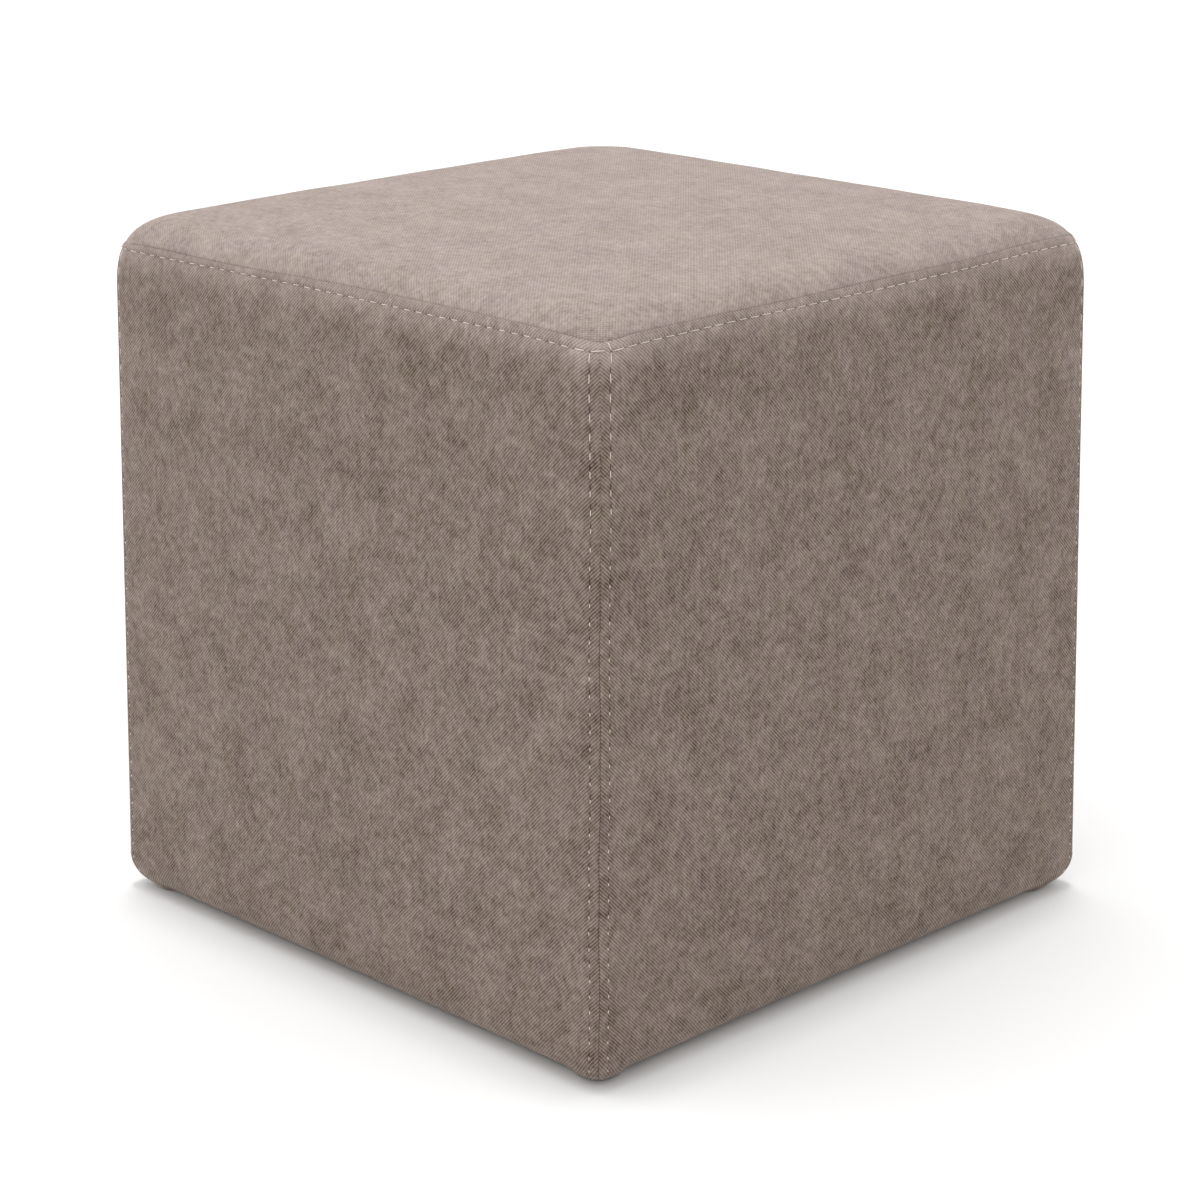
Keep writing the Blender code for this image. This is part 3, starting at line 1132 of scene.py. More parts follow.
# ----------------------------------------------------------------------------------------------- stitches


@dataclass(frozen=True)
class StitchLie:
    """How a stitch lies in the cloth."""

    shown: float  # share of the pitch that shows
    sink: float  # how steeply the thread sinks, as a slope
    spread: float = 0.0  # how much that varies
    drawn: float = 0.0  # how much shorter the thread shows where the cloth is firmer, low down a corner seam


class StitchLook(Enum):
    """How the stitches of each kind of row lie."""

    PROUD = StitchLie(0.78, 0.004, 0.010)
    SLACK = StitchLie(0.62, 0.010, 0.012)
    SUNK = StitchLie(0.50, 0.012, 0.010, 0.58)
    SHORT = StitchLie(0.86, 0.0)
    TACK = StitchLie(0.80, 0.06)


@dataclass(frozen=True)
class Thread:
    """The top-stitching thread."""

    radius: float = 0.25 * MM
    sides: int = 6
    steps: int = 6
    crest: float = 0.19 * MM  # how proud the thread's axis stands at its highest
    dive: float = 0.55 * MM  # how deep its ends go into the needle holes


@dataclass
class StitchRow:
    """One row of stitches: its needle holes in order, from the proud end of each stitch to the next hole."""

    holes: np.ndarray
    outward: np.ndarray
    look: StitchLook
    seed: int
    firmness: Optional[np.ndarray] = None

    def path(self) -> bpy.types.Object:
        """A helper object with a vertex at the start of each stitch, and its direction and length.

        Returns:
            The object.
        """
        ways = np.diff(self.holes, axis=0)
        lengths = np.linalg.norm(ways, axis=1)
        mesh = bpy.data.meshes.new("row_path")
        mesh.from_pydata(self.holes[:-1].tolist(), [], [])
        for name, kind, values in (
            ("along", "FLOAT_VECTOR", ways / lengths[:, None]),
            ("outward", "FLOAT_VECTOR", self.outward[:-1]),
        ):
            layer = mesh.attributes.new(name, kind, "POINT")
            layer.data.foreach_set("vector", values.ravel())
        if self.firmness is not None:
            lengths = lengths * (1 - self.look.value.drawn * self.firmness[: len(lengths)])
        mesh.attributes.new("pitch", "FLOAT", "POINT").data.foreach_set("value", lengths)
        helper = bpy.data.objects.new("row_path", mesh)
        bpy.context.scene.collection.objects.link(helper)
        return helper


class StitchTree:
    """The Geometry Nodes tree that lays one stitch of thread from each needle hole to the next."""

    INPUTS = (
        ("Thread Radius", "NodeSocketFloat", 0.3 * MM),
        ("Shown Share", "NodeSocketFloat", 0.8),
        ("Crest", "NodeSocketFloat", 0.2 * MM),
        ("Dive", "NodeSocketFloat", 0.5 * MM),
        ("Sink", "NodeSocketFloat", 0.02),
        ("Sink Spread", "NodeSocketFloat", 0.01),
        ("Seed", "NodeSocketInt", 1),
        ("Thread Finish", "NodeSocketMaterial", None),
    )
    START = 0.05  # share of the pitch before the thread comes up
    SWAY = math.radians(2.0)

    def __init__(self, thread: Thread) -> None:
        """Builds the tree.

        Args:
            thread: The thread's sizes.
        """
        self.thread = thread
        self.tree = bpy.data.node_groups.new("topstitch", "GeometryNodeTree")
        face = self.tree.interface
        face.new_socket("Geometry", in_out="INPUT", socket_type="NodeSocketGeometry")
        self.identifiers: dict[str, str] = {}
        for name, kind, value in self.INPUTS:
            socket = face.new_socket(name, in_out="INPUT", socket_type=kind)
            if value is not None:
                socket.default_value = value
            self.identifiers[name] = socket.identifier
        face.new_socket("Geometry", in_out="OUTPUT", socket_type="NodeSocketGeometry")
        self.source = self.tree.nodes.new("NodeGroupInput")
        self.wire()

    def node(self, kind: str, settings: dict, inputs: dict) -> bpy.types.Node:
        """Adds a node.

        Args:
            kind: Its type.
            settings: Its properties.
            inputs: Values or output sockets, by input name or number.

        Returns:
            The node.
        """
        node = self.tree.nodes.new(kind)
        for name, value in settings.items():
            setattr(node, name, value)
        for name, value in inputs.items():
            if isinstance(value, bpy.types.NodeSocket):
                self.tree.links.new(value, node.inputs[name])
            else:
                node.inputs[name].default_value = value
        return node

    def maths(self, operation: str, *values: Union[float, bpy.types.NodeSocket]) -> bpy.types.NodeSocket:
        """Adds a Math node on values and sockets."""
        return self.node("ShaderNodeMath", {"operation": operation}, dict(enumerate(values))).outputs[0]

    def named(self, name: str, kind: str) -> bpy.types.NodeSocket:
        """Reads an attribute of the path."""
        return self.node("GeometryNodeInputNamedAttribute", {"data_type": kind}, {"Name": name}).outputs[0]

    def thread_mesh(self) -> bpy.types.NodeSocket:
        """One stitch of thread, a unit long, that comes up at one end, lies on the cloth and goes down.

        Returns:
            The mesh's socket.
        """
        given = self.source.outputs
        line = self.node("GeometryNodeCurvePrimitiveLine", {}, {"Start": (0, 0, 0), "End": (1, 0, 0)})
        points = {"Curve": line.outputs[0], "Count": self.thread.steps + 1}
        rail = self.node("GeometryNodeResampleCurve", {}, points)
        share = self.node("GeometryNodeSplineParameter", {}, {}).outputs["Factor"]
        from_middle = self.maths("ABSOLUTE", self.maths("MULTIPLY_ADD", share, 2.0, -1.0))
        bent = self.maths("POWER", from_middle, 5.0)
        fall = self.maths("MULTIPLY", bent, self.maths("ADD", given["Crest"], given["Dive"]))
        height = self.maths("SUBTRACT", given["Crest"], fall)
        spaced = self.maths("SINE", self.maths("MULTIPLY", self.maths("SUBTRACT", share, 0.5), math.pi))
        eased = self.maths("MULTIPLY_ADD", spaced, 0.5, 0.5)
        along = self.maths("MULTIPLY_ADD", eased, given["Shown Share"], self.START)
        place = self.node("ShaderNodeCombineXYZ", {}, {"X": along, "Y": 0.0, "Z": height}).outputs[0]
        moved = self.node("GeometryNodeSetPosition", {}, {"Geometry": rail.outputs[0], "Position": place})
        marked = self.node(
            "GeometryNodeStoreNamedAttribute",
            {"data_type": "FLOAT", "domain": "POINT"},
            {"Geometry": moved.outputs[0], "Name": "ply_run", "Value": share},
        )
        thin = self.maths("MULTIPLY_ADD", self.maths("POWER", from_middle, 2.0), -0.3, 1.0)
        girth = self.maths("MULTIPLY", given["Thread Radius"], thin)
        sized = self.node("GeometryNodeSetCurveRadius", {}, {"Curve": marked.outputs[0], "Radius": girth})
        corners = {"Resolution": self.thread.sides, "Radius": 1.0}
        ring = self.node("GeometryNodeCurvePrimitiveCircle", {}, corners)
        turned = self.node(
            "GeometryNodeStoreNamedAttribute",
            {"data_type": "FLOAT_VECTOR", "domain": "POINT"},
            {
                "Geometry": ring.outputs[0],
                "Name": "ply_turn",
                "Value": self.node("GeometryNodeInputPosition", {}, {}).outputs[0],
            },
        )
        mesh = self.node(
            "GeometryNodeCurveToMesh",
            {},
            {"Curve": sized.outputs[0], "Profile Curve": turned.outputs[0], "Fill Caps": True},
        )
        if "Scale" in mesh.inputs:
            radius = self.node("GeometryNodeInputRadius", {}, {}).outputs[0]
            self.tree.links.new(radius, mesh.inputs["Scale"])
        return mesh.outputs[0]

    def wire(self) -> None:
        """Wires the tree: a stitch on each point, turned along the row, swayed and sunk a little."""
        given = self.source.outputs
        turned = self.node(
            "FunctionNodeAxesToRotation",
            {"primary_axis": "Z", "secondary_axis": "X"},
            {
                "Primary Axis": self.named("outward", "FLOAT_VECTOR"),
                "Secondary Axis": self.named("along", "FLOAT_VECTOR"),
            },
        )
        stretch = self.node(
            "ShaderNodeCombineXYZ", {}, {"X": self.named("pitch", "FLOAT"), "Y": 1.0, "Z": 1.0}
        ).outputs[0]
        laid = self.node(
            "GeometryNodeInstanceOnPoints",
            {},
            {
                "Points": given["Geometry"],
                "Instance": self.thread_mesh(),
                "Rotation": turned.outputs[0],
                "Scale": stretch,
            },
        )
        chances = [
            self.node(
                "FunctionNodeRandomValue",
                {"data_type": "FLOAT"},
                {2: -1.0, 3: 1.0, "Seed": self.maths("ADD", given["Seed"], 100.0 * place)},
            ).outputs[1]
            for place in range(2)
        ]
        sink = self.maths("MULTIPLY_ADD", chances[0], given["Sink Spread"], given["Sink"])
        sway = self.maths("MULTIPLY", chances[1], self.SWAY)
        turn = self.node("ShaderNodeCombineXYZ", {}, {"X": 0.0, "Y": sink, "Z": sway}).outputs[0]
        swayed = self.node(
            "GeometryNodeRotateInstances",
            {},
            {"Instances": laid.outputs[0], "Rotation": turn},
        )
        real = self.node("GeometryNodeRealizeInstances", {}, {"Geometry": swayed.outputs[0]})
        dressed = self.node(
            "GeometryNodeSetMaterial", {}, {"Geometry": real.outputs[0], "Material": given["Thread Finish"]}
        )
        self.node("NodeGroupOutput", {}, {"Geometry": dressed.outputs[0]})

    def lay(self, row: StitchRow, finish: bpy.types.Material) -> bpy.types.Mesh:
        """Lays one row.

        Args:
            row: The row's holes.
            finish: The thread's material.

        Returns:
            A plain mesh of the row's stitches.
        """
        helper = row.path()
        lie = row.look.value
        values = {
            "Thread Radius": self.thread.radius,
            "Shown Share": lie.shown,
            "Crest": self.thread.crest,
            "Dive": self.thread.dive,
            "Sink": lie.sink,
            "Sink Spread": lie.spread,
            "Seed": row.seed,
            "Thread Finish": finish,
        }
        modifier = helper.modifiers.new("topstitch", "NODES")
        modifier.node_group = self.tree
        for name, value in values.items():
            modifier[self.identifiers[name]] = value
        graph = bpy.context.evaluated_depsgraph_get()
        mesh = bpy.data.meshes.new_from_object(
            helper.evaluated_get(graph), preserve_all_data_layers=True, depsgraph=graph
        )
        helper.modifiers.remove(modifier)
        bpy.data.objects.remove(helper, do_unlink=True)
        return mesh


@dataclass
class Topstitching:
    """All rows of top-stitching, as one piece for the top rows and one for the upright rows."""

    cube: SoftCube
    rows: Rows
    thread: Thread = Thread()
    nestle: float = 0.10 * MM  # how deep the thread's path lies in the row's channel
    past_seam: float = 2.4 * MM  # how far beyond a corner seam the stitch across it ends
    over_corner: float = 0.36 * MM  # how much prouder that stitch lies, to pass over the corner
    under_seam: float = 0.3 * MM  # how far below the top seam the thread's end comes out

    SLACK_SIDE = 3  # the side on the left in the front view, whose top row is sewn more loosely
    FIRMING = (0.08, 0.30)  # shares of the way down a corner seam between which the cloth grows firm
    TOP_SEED, UPRIGHT_SEED, BRIDGE_SEED, TACK_SEED = 10, 20, 40, 50

    def on_cloth(
        self, side: int, across: np.ndarray, run: np.ndarray, proud: float = 0.0
    ) -> tuple[np.ndarray, np.ndarray]:
        """Places and outward directions on the sewn cloth.

        Args:
            side: The side's number.
            across: Cloth from the side's middle.
            run: Cloth from the hem's inner edge.
            proud: How much prouder than the rest the thread lies.

        Returns:
            The places and the directions, with x, y and z last.
        """
        relief = self.rows.relief(side, across, run) + self.rows.sewing.hole_depth / 2
        places = self.cube.place(side, across, run, relief - self.nestle + proud)
        return places, self.cube.outward(side, across, run)

    def top_row(self, side: int, reverse: bool) -> StitchRow:
        """The row under the top seam of a side.

        Args:
            side: The side's number.
            reverse: Whether it is sewn the other way round.

        Returns:
            The row.
        """
        across = self.rows.top_holes(side)
        if reverse:
            across = across[::-1]
        holes, outward = self.on_cloth(side, across, np.full(len(across), self.cube.row_run))
        look = StitchLook.SLACK if side == self.SLACK_SIDE else StitchLook.PROUD
        return StitchRow(holes, outward, look, self.TOP_SEED + side)

    def upright_row(self, side: int, at_end: bool) -> StitchRow:
        """The row beside one of a side's upright seams, from the top down.

        Args:
            side: The side's number.
            at_end: Whether the seam is the one at the side's end.

        Returns:
            The row.
        """
        run = self.rows.upright_holes()[::-1]
        start, end = self.cube.ends(side, run)
        inner = self.cube.sizes.row_to_seam
        across = end - inner if at_end else start + inner
        holes, outward = self.on_cloth(side, across, run)
        depth = (self.rows.upright_end - run) / (self.rows.upright_end - self.rows.upright_start)
        seed = self.UPRIGHT_SEED + 2 * side + int(at_end)
        return StitchRow(holes, outward, StitchLook.SUNK, seed, smooth_step(*self.FIRMING, depth))

    def bridge(self, corner: int) -> StitchRow:
        """The short stitch that joins the two sides' rows across the top of a corner seam.

        Args:
            corner: The number of the side before the corner.

        Returns:
            The row of one stitch.
        """
        side, following = corner, (corner + 1) % 4
        height = np.array([self.cube.row_run])
        past_seam = self.cube.ends(following, height)[0] + self.past_seam
        first, first_out = self.on_cloth(side, self.rows.top_holes(side)[-1:], height, self.over_corner)
        last, last_out = self.on_cloth(following, past_seam, height, self.over_corner)
        holes, outward = np.concatenate([first, last]), np.concatenate([first_out, last_out])
        return StitchRow(holes, outward, StitchLook.SHORT, self.BRIDGE_SEED + corner)

    def tack(self, corner: int) -> StitchRow:
        """The end of the thread, which runs up from the corner's hole to the top seam.

        Args:
            corner: The number of the side before the corner.

        Returns:
            The row of one stitch.
        """
        following = (corner + 1) % 4
        across = np.repeat(self.rows.top_holes(following)[:1], 2)
        run = np.array([self.cube.seam_run - self.under_seam, self.cube.row_run])
        holes, outward = self.on_cloth(following, across, run)
        return StitchRow(holes, outward, StitchLook.TACK, self.TACK_SEED + corner)

    def build(self, finish: bpy.types.Material) -> list[bpy.types.Object]:
        """Makes both pieces.

        Args:
            finish: The thread's material.

        Returns:
            The pieces' objects.
        """
        tree = StitchTree(self.thread)
        top = [self.top_row(side, side == 0) for side in range(4)]
        top += [ends(corner) for corner in range(4) for ends in (self.bridge, self.tack)]
        upright = [self.upright_row(side, at_end) for side in range(4) for at_end in (False, True)]
        pieces = []
        for name, rows in (("top_seam_stitching", top), ("upright_seam_stitching", upright)):
            meshes = [tree.lay(row, finish) for row in rows]
            pieces.append(self.joined(name, meshes, finish))
        bpy.data.node_groups.remove(tree.tree)
        return pieces

    @staticmethod
    def joined(name: str, meshes: list[bpy.types.Mesh], finish: bpy.types.Material) -> bpy.types.Object:
        """Joins meshes into one piece.

        Args:
            name: The piece's name.
            meshes: The meshes, which are removed.
            finish: The piece's material.

        Returns:
            The piece's object.
        """
        shape = bmesh.new()
        for mesh in meshes:
            shape.from_mesh(mesh)
            bpy.data.meshes.remove(mesh)
        bmesh.ops.recalc_face_normals(shape, faces=shape.faces)
        whole = bpy.data.meshes.new(name)
        shape.to_mesh(whole)
        shape.free()
        whole.materials.clear()
        whole.materials.append(finish)
        whole.shade_smooth()
        piece = bpy.data.objects.new(name, whole)
        bpy.context.scene.collection.objects.link(piece)
        return piece


# ----------------------------------------------------------------------------------------------- finishes

Value = Union[float, "Wire"]


class Wire:
    """A shader socket on which Python's operators add Math nodes."""

    def __init__(self, graph: "ShaderGraph", socket: bpy.types.NodeSocket) -> None:
        """Keeps the graph and the socket."""
        self.graph = graph
        self.socket = socket

    def __add__(self, other: Value) -> "Wire":
        """Adds."""
        return self.graph.maths("ADD", self, other)

    __radd__ = __add__

    def __mul__(self, other: Value) -> "Wire":
        """Multiplies."""
        return self.graph.maths("MULTIPLY", self, other)

    def __sub__(self, other: Value) -> "Wire":
        """Subtracts."""
        return self.graph.maths("SUBTRACT", self, other)

    def __rsub__(self, other: Value) -> "Wire":
        """Subtracts from a value."""
        return self.graph.maths("SUBTRACT", other, self)

    def absolute(self) -> "Wire":
        """Its size without its sign."""
        return self.graph.maths("ABSOLUTE", self)

    def sine(self) -> "Wire":
        """Its sine."""
        return self.graph.maths("SINE", self)

    def clipped(self) -> "Wire":
        """Itself, kept from 0 to 1."""
        return self.graph.node("ShaderNodeClamp", {}, {"Value": self})

    def step(self, low: float, high: float) -> "Wire":
        """A smooth rise from 0 to 1 between two values, or a fall where the first is the higher.

        Args:
            low: Where it is 0.
            high: Where it is 1.

        Returns:
            The smooth step.
        """
        settings = {"interpolation_type": "SMOOTHSTEP"}
        if low < high:
            inputs = {"Value": self, "From Min": low, "From Max": high, "To Min": 0.0, "To Max": 1.0}
        else:
            inputs = {"Value": self, "From Min": high, "From Max": low, "To Min": 1.0, "To Max": 0.0}
        return self.graph.node("ShaderNodeMapRange", settings, inputs)


class ShaderGraph:
    """A material's nodes, added by type, settings and inputs."""

    def __init__(self, name: str) -> None:
        """Makes the material.

        Args:
            name: The material's name.
        """
        self.material = bpy.data.materials.new(name)
        self.material.use_nodes = True
        self.tree = self.material.node_tree
        self.shader = self.tree.nodes["Principled BSDF"]

    def node(self, kind: str, settings: dict, inputs: dict, output: Union[int, str] = 0) -> Wire:
        """Adds a node.

        Args:
            kind: Its type.
            settings: Its properties, which are set first.
            inputs: Values or wires, by input name or number.
            output: The output that is returned.

        Returns:
            The output's wire.
        """
        node = self.tree.nodes.new(kind)
        for name, value in settings.items():
            setattr(node, name, value)
        for name, value in inputs.items():
            if isinstance(value, Wire):
                self.tree.links.new(value.socket, node.inputs[name])
            else:
                node.inputs[name].default_value = value
        return Wire(self, node.outputs[output])

    def maths(self, operation: str, *values: Value) -> Wire:
        """Adds a Math node."""
        return self.node("ShaderNodeMath", {"operation": operation}, dict(enumerate(values)))

    def mixed(self, factor: Value, first: Union[Wire, tuple], second: Union[Wire, tuple]) -> Wire:
        """Mixes two colours."""
        inputs = {"Factor": factor, 6: first, 7: second}
        return self.node("ShaderNodeMix", {"data_type": "RGBA", "clamp_factor": True}, inputs, 2)

    def scaled(self, colour: Union[Wire, tuple], factor: Value) -> Wire:
        """A colour made lighter or darker by a factor."""
        inputs = {0: colour, "Scale": factor}
        return self.node("ShaderNodeVectorMath", {"operation": "SCALE"}, inputs)

    def summed(self, first: Wire, second: Wire) -> Wire:
        """Two colours' sum, kept from going below nearly black."""
        total = self.node("ShaderNodeVectorMath", {"operation": "ADD"}, {0: first, 1: second})
        return self.node("ShaderNodeVectorMath", {"operation": "MAXIMUM"}, {0: total, 1: (0.01, 0.01, 0.01)})

    def uv(self, name: Map) -> Wire:
        """A UV map's coordinates."""
        return self.node("ShaderNodeUVMap", {"uv_map": name.value}, {})

    def split(self, vector: Wire) -> tuple[Wire, Wire]:
        """A vector's first two parts."""
        parts = self.node("ShaderNodeSeparateXYZ", {}, {0: vector})
        return parts, Wire(self, parts.socket.node.outputs[1])

    def joined(self, x: Value, y: Value, z: Value = 0.0) -> Wire:
        """A vector from its parts."""
        return self.node("ShaderNodeCombineXYZ", {}, {0: x, 1: y, 2: z})

    def noise(self, place: Wire, scale: float, detail: float = 2.0, rough: float = 0.5) -> Wire:
        """Noise about zero, at so many features a unit of the place."""
        inputs = {"Vector": place, "Scale": scale, "Detail": detail, "Roughness": rough}
        return self.node("ShaderNodeTexNoise", {"noise_dimensions": "3D"}, inputs) - 0.5

    def bump(self, strength: float, distance: float, height: Wire) -> Wire:
        """Normals tilted by a height."""
        inputs = {"Strength": strength, "Distance": distance, "Height": height}
        return self.node("ShaderNodeBump", {}, inputs)

    def finish(self, values: dict) -> bpy.types.Material:
        """Sets the shader's inputs.

        Args:
            values: Values or wires by input name.

        Returns:
            The material.
        """
        for name, value in values.items():
            if isinstance(value, Wire):
                self.tree.links.new(value.socket, self.shader.inputs[name])
            else:
                self.shader.inputs[name].default_value = value
        return self.material


@dataclass(frozen=True)
class HoleShape:
    """The painted shade at each needle hole of a kind of row."""

    half_length: float
    half_width: float
    shift: float  # along the row, as a share of the pitch
    painted_hole_shade: float


@dataclass(frozen=True)
class Upholstery:
    """The taupe plain weave with its brushed, mottled nap, as a copy with painted light for the top and one
    with painted shade for the sides.
    """

    rosy: tuple
    mossy: tuple
    sheen: float
    weave_shade: float
    streak_stretch: float  # how far the mottle is drawn out along the warp
    twill: float  # how much more of one diagonal shows than of the other
    sway: float = 0.35 * MM  # how far the threads waver
    # the lighter colour of the painted light along the top seam
    painted_shoulder_light: tuple = (0.305, 0.247, 0.222, 1.0)
    relief_tint: tuple = (1.0, 0.86, 0.79)
    relief_level: float = 0.115  # how much lighter or darker the mottle makes the cloth
    warp_waves: float = 505.0  # waves a metre across, two threads to a wave
    weft_waves: float = 485.0  # and up
    top_holes: HoleShape = HoleShape(0.75 * MM, 0.38 * MM, 0.0, 0.62)
    upright_holes: HoleShape = HoleShape(1.9 * MM, 0.46 * MM, 0.13, 0.72)

    HOLE_EDGE = (1.15, 0.35)  # a hole's soft rim and its dark core, in its own half-sizes
    CHANNEL = (0.9 * MM, 0.15 * MM)  # from a row, where its shade ends and where it is full
    CREASE = (0.44 * MM, 0.12 * MM)  # the same from the middle of a corner's crease
    WHOLE_CREASE = (0.345, 0.285)  # runs between which the crease's painted shade turns from dots into a line
    CREASE_END = (0.395, 0.375)  # and between which it ends
    TOP_EDGE = (16 * MM, 2 * MM)  # below and above the top row, where the painted light starts and is full
    PAINTED_LIGHT_REACH = 42 * MM  # from a corner, the reach of the strongest painted light
    PAINTED_LIGHT_AWAY = 0.58  # how strong the painted light is further off

    @classmethod
    def upright(cls) -> "Upholstery":
        """The cloth on the sides, darker than the top's copy: painted shade."""
        rosy, mossy = (0.1886, 0.1422, 0.1232, 1.0), (0.1862, 0.1444, 0.1156, 1.0)
        return cls(rosy, mossy, sheen=0.20, weave_shade=1.45, streak_stretch=1.3, twill=0.75)

    @classmethod
    def flat(cls) -> "Upholstery":
        """The cloth on the top, lighter than the sides' copy: painted light."""
        rosy, mossy = (0.3065, 0.2455, 0.2285, 1.0), (0.3035, 0.2485, 0.2165, 1.0)
        return cls(rosy, mossy, sheen=0.10, weave_shade=0.85, streak_stretch=1.0, twill=0.0)

    def needle_holes(
        self, graph: ShaderGraph, rows: Map, pitch: float, count: int, shape: HoleShape
    ) -> tuple[Wire, Wire]:
        """Painted shade in the needle holes and along the channel of a kind of row.

        Args:
            graph: The material's graph.
            rows: The rows' UV map.
            pitch: The stitches' length.
            count: How many stitches a row has.
            shape: The holes' shape.

        Returns:
            Masks of the holes and of the channel.
        """
        phase, across = graph.split(graph.uv(rows))
        nearest = graph.maths("ROUND", phase - shape.shift)
        along = (phase - shape.shift - nearest) * (pitch / shape.half_length)
        sideways = across * (1 / shape.half_width)
        reach = graph.maths("SQRT", along * along + sideways * sideways)
        channel = across.absolute().step(*self.CHANNEL)
        last = count + 0.2 - 2 * shape.shift
        return reach.step(*self.HOLE_EDGE) * phase.step(last + 0.05, last - 0.05), channel

    def painted_light_mask(self, graph: ShaderGraph, rows: Rows) -> Wire:
        """A mask of painted light on the cloth along the top seam, strongest at the corners.

        Args:
            graph: The material's graph.
            rows: The rows of top-stitching.

        Returns:
            The mask.
        """
        _, across = graph.split(graph.uv(Map.UPRIGHT_ROWS))
        _, run = graph.split(graph.uv(Map.CLOTH))
        below, above = self.TOP_EDGE
        rise = run.step(rows.cube.row_run - below, rows.cube.row_run + above)
        near_corner = (across + rows.cube.sizes.row_to_seam).step(self.PAINTED_LIGHT_REACH, 0.0)
        return rise * (near_corner * (1 - self.PAINTED_LIGHT_AWAY) + self.PAINTED_LIGHT_AWAY)

    def crease_shade_mask(self, graph: ShaderGraph, inner: float) -> Wire:
        """A mask of painted shade in the fine crease where two sides meet, broken into dots near the top.

        Args:
            graph: The material's graph.
            inner: From the crease to the upright rows.

        Returns:
            The mask.
        """
        _, across = graph.split(graph.uv(Map.UPRIGHT_ROWS))
        _, run = graph.split(graph.uv(Map.CLOTH))
        line = (across + inner).step(*self.CREASE)
        dots = graph.noise(graph.joined(run, 0.0, 5.0), 240.0, 1.0).step(-0.05, 0.12)
        whole = run.step(*self.WHOLE_CREASE) * 0.9
        return line * graph.maths("MAXIMUM", dots, whole) * run.step(*self.CREASE_END)

    def relief(self, graph: ShaderGraph) -> tuple[Wire, Wire, Wire]:
        """The cloth's play of light and dark.

        Args:
            graph: The material's graph.

        Returns:
            The whole of it, and the weave and the mottle alone.
        """
        across, run = graph.split(graph.uv(Map.CLOTH))
        along = run * (1 / self.streak_stretch)
        sway = graph.noise(graph.joined(across, run), 170.0, 1.0) * self.sway
        drift = graph.noise(graph.joined(run, across, 3.0), 190.0, 1.0) * self.sway
        turn = 2 * math.pi
        warp = (across + sway) * (self.warp_waves * turn)
        weft = (run + drift) * (self.weft_waves * turn)
        diagonal = (warp + weft - math.pi / 2).sine() * (0.6 * self.twill)
        weave = warp.sine() * weft.sine() * (1.0 - self.twill) + diagonal
        bare = graph.noise(graph.joined(across, along), 150.0, 2.0, 0.55) * 0.9 + 0.75
        grain = graph.noise(graph.joined(across, run, 4.0), 560.0, 2.0, 0.6)
        cloudy = graph.noise(graph.joined(across, along, 7.4), 42.0, 4.0, 0.62)
        mottle = graph.noise(graph.joined(across, along, 0.5), 170.0, 3.0, 0.6)
        brush = graph.noise(graph.joined(across * 1.4, along, 0.8), 330.0, 2.0, 0.6)
        specks = graph.noise(graph.joined(across, run, 1.7), 420.0, 2.0, 0.7).step(0.17, 0.30)
        shade = cloudy * 1.5 + mottle * 1.9 + brush * 1.9 + grain * 1.0
        shade = shade + weave * bare * self.weave_shade - specks * 0.35
        return shade, weave, mottle

    def material(self, name: str, rows: Rows) -> bpy.types.Material:
        """Makes the material.

        Args:
            name: The material's name.
            rows: The rows of top-stitching.

        Returns:
            The material.
        """
        graph = ShaderGraph(name)
        shade, weave, mottle = self.relief(graph)
        across, run = graph.split(graph.uv(Map.CLOTH))
        tone = graph.noise(graph.joined(across, run, 2.9), 75.0, 4.0, 0.65)
        base = graph.mixed(tone.step(-0.16, 0.16), self.rosy, self.mossy)
        # Painted light: the cloth is lightened along the top seam, most at the corners.
        base = graph.mixed(self.painted_light_mask(graph, rows), base, self.painted_shoulder_light)
        lifted = graph.summed(base, graph.scaled(self.relief_tint, shade * self.relief_level))
        sizes = rows.sewing
        top_pitch = 2 * float(rows.cube.half_length(rows.cube.row_run)) / sizes.top_stitches
        up_pitch = (rows.upright_end - rows.upright_start) / sizes.upright_stitches
        # Painted shade darkens the cloth in the corner crease, at the needle holes and along the rows'
        # channels.
        painted_shade = 1.0 - self.crease_shade_mask(graph, rows.cube.sizes.row_to_seam) * 0.52
        for kind, pitch, count, shape in (
            (Map.TOP_ROW, top_pitch, sizes.top_stitches, self.top_holes),
            (Map.UPRIGHT_ROWS, up_pitch, sizes.upright_stitches, self.upright_holes),
        ):
            hole, channel = self.needle_holes(graph, kind, pitch, count, shape)
            painted_shade = painted_shade * (1.0 - hole * shape.painted_hole_shade) * (1.0 - channel * 0.05)
        height = weave * 0.5 + shade * 0.5
        bump = graph.bump(0.35, 0.16 * MM, height)
        return graph.finish(
            {
                "Base Color": graph.scaled(lifted, painted_shade),
                "Roughness": (0.82 + mottle * 0.25).clipped(),
                "Normal": bump,
                "Specular IOR Level": 0.25,
                "Sheen Weight": self.sheen,
                "Sheen Roughness": 0.45,
                "Sheen Tint": (1.0, 0.88, 0.79, 1.0),
            }
        )


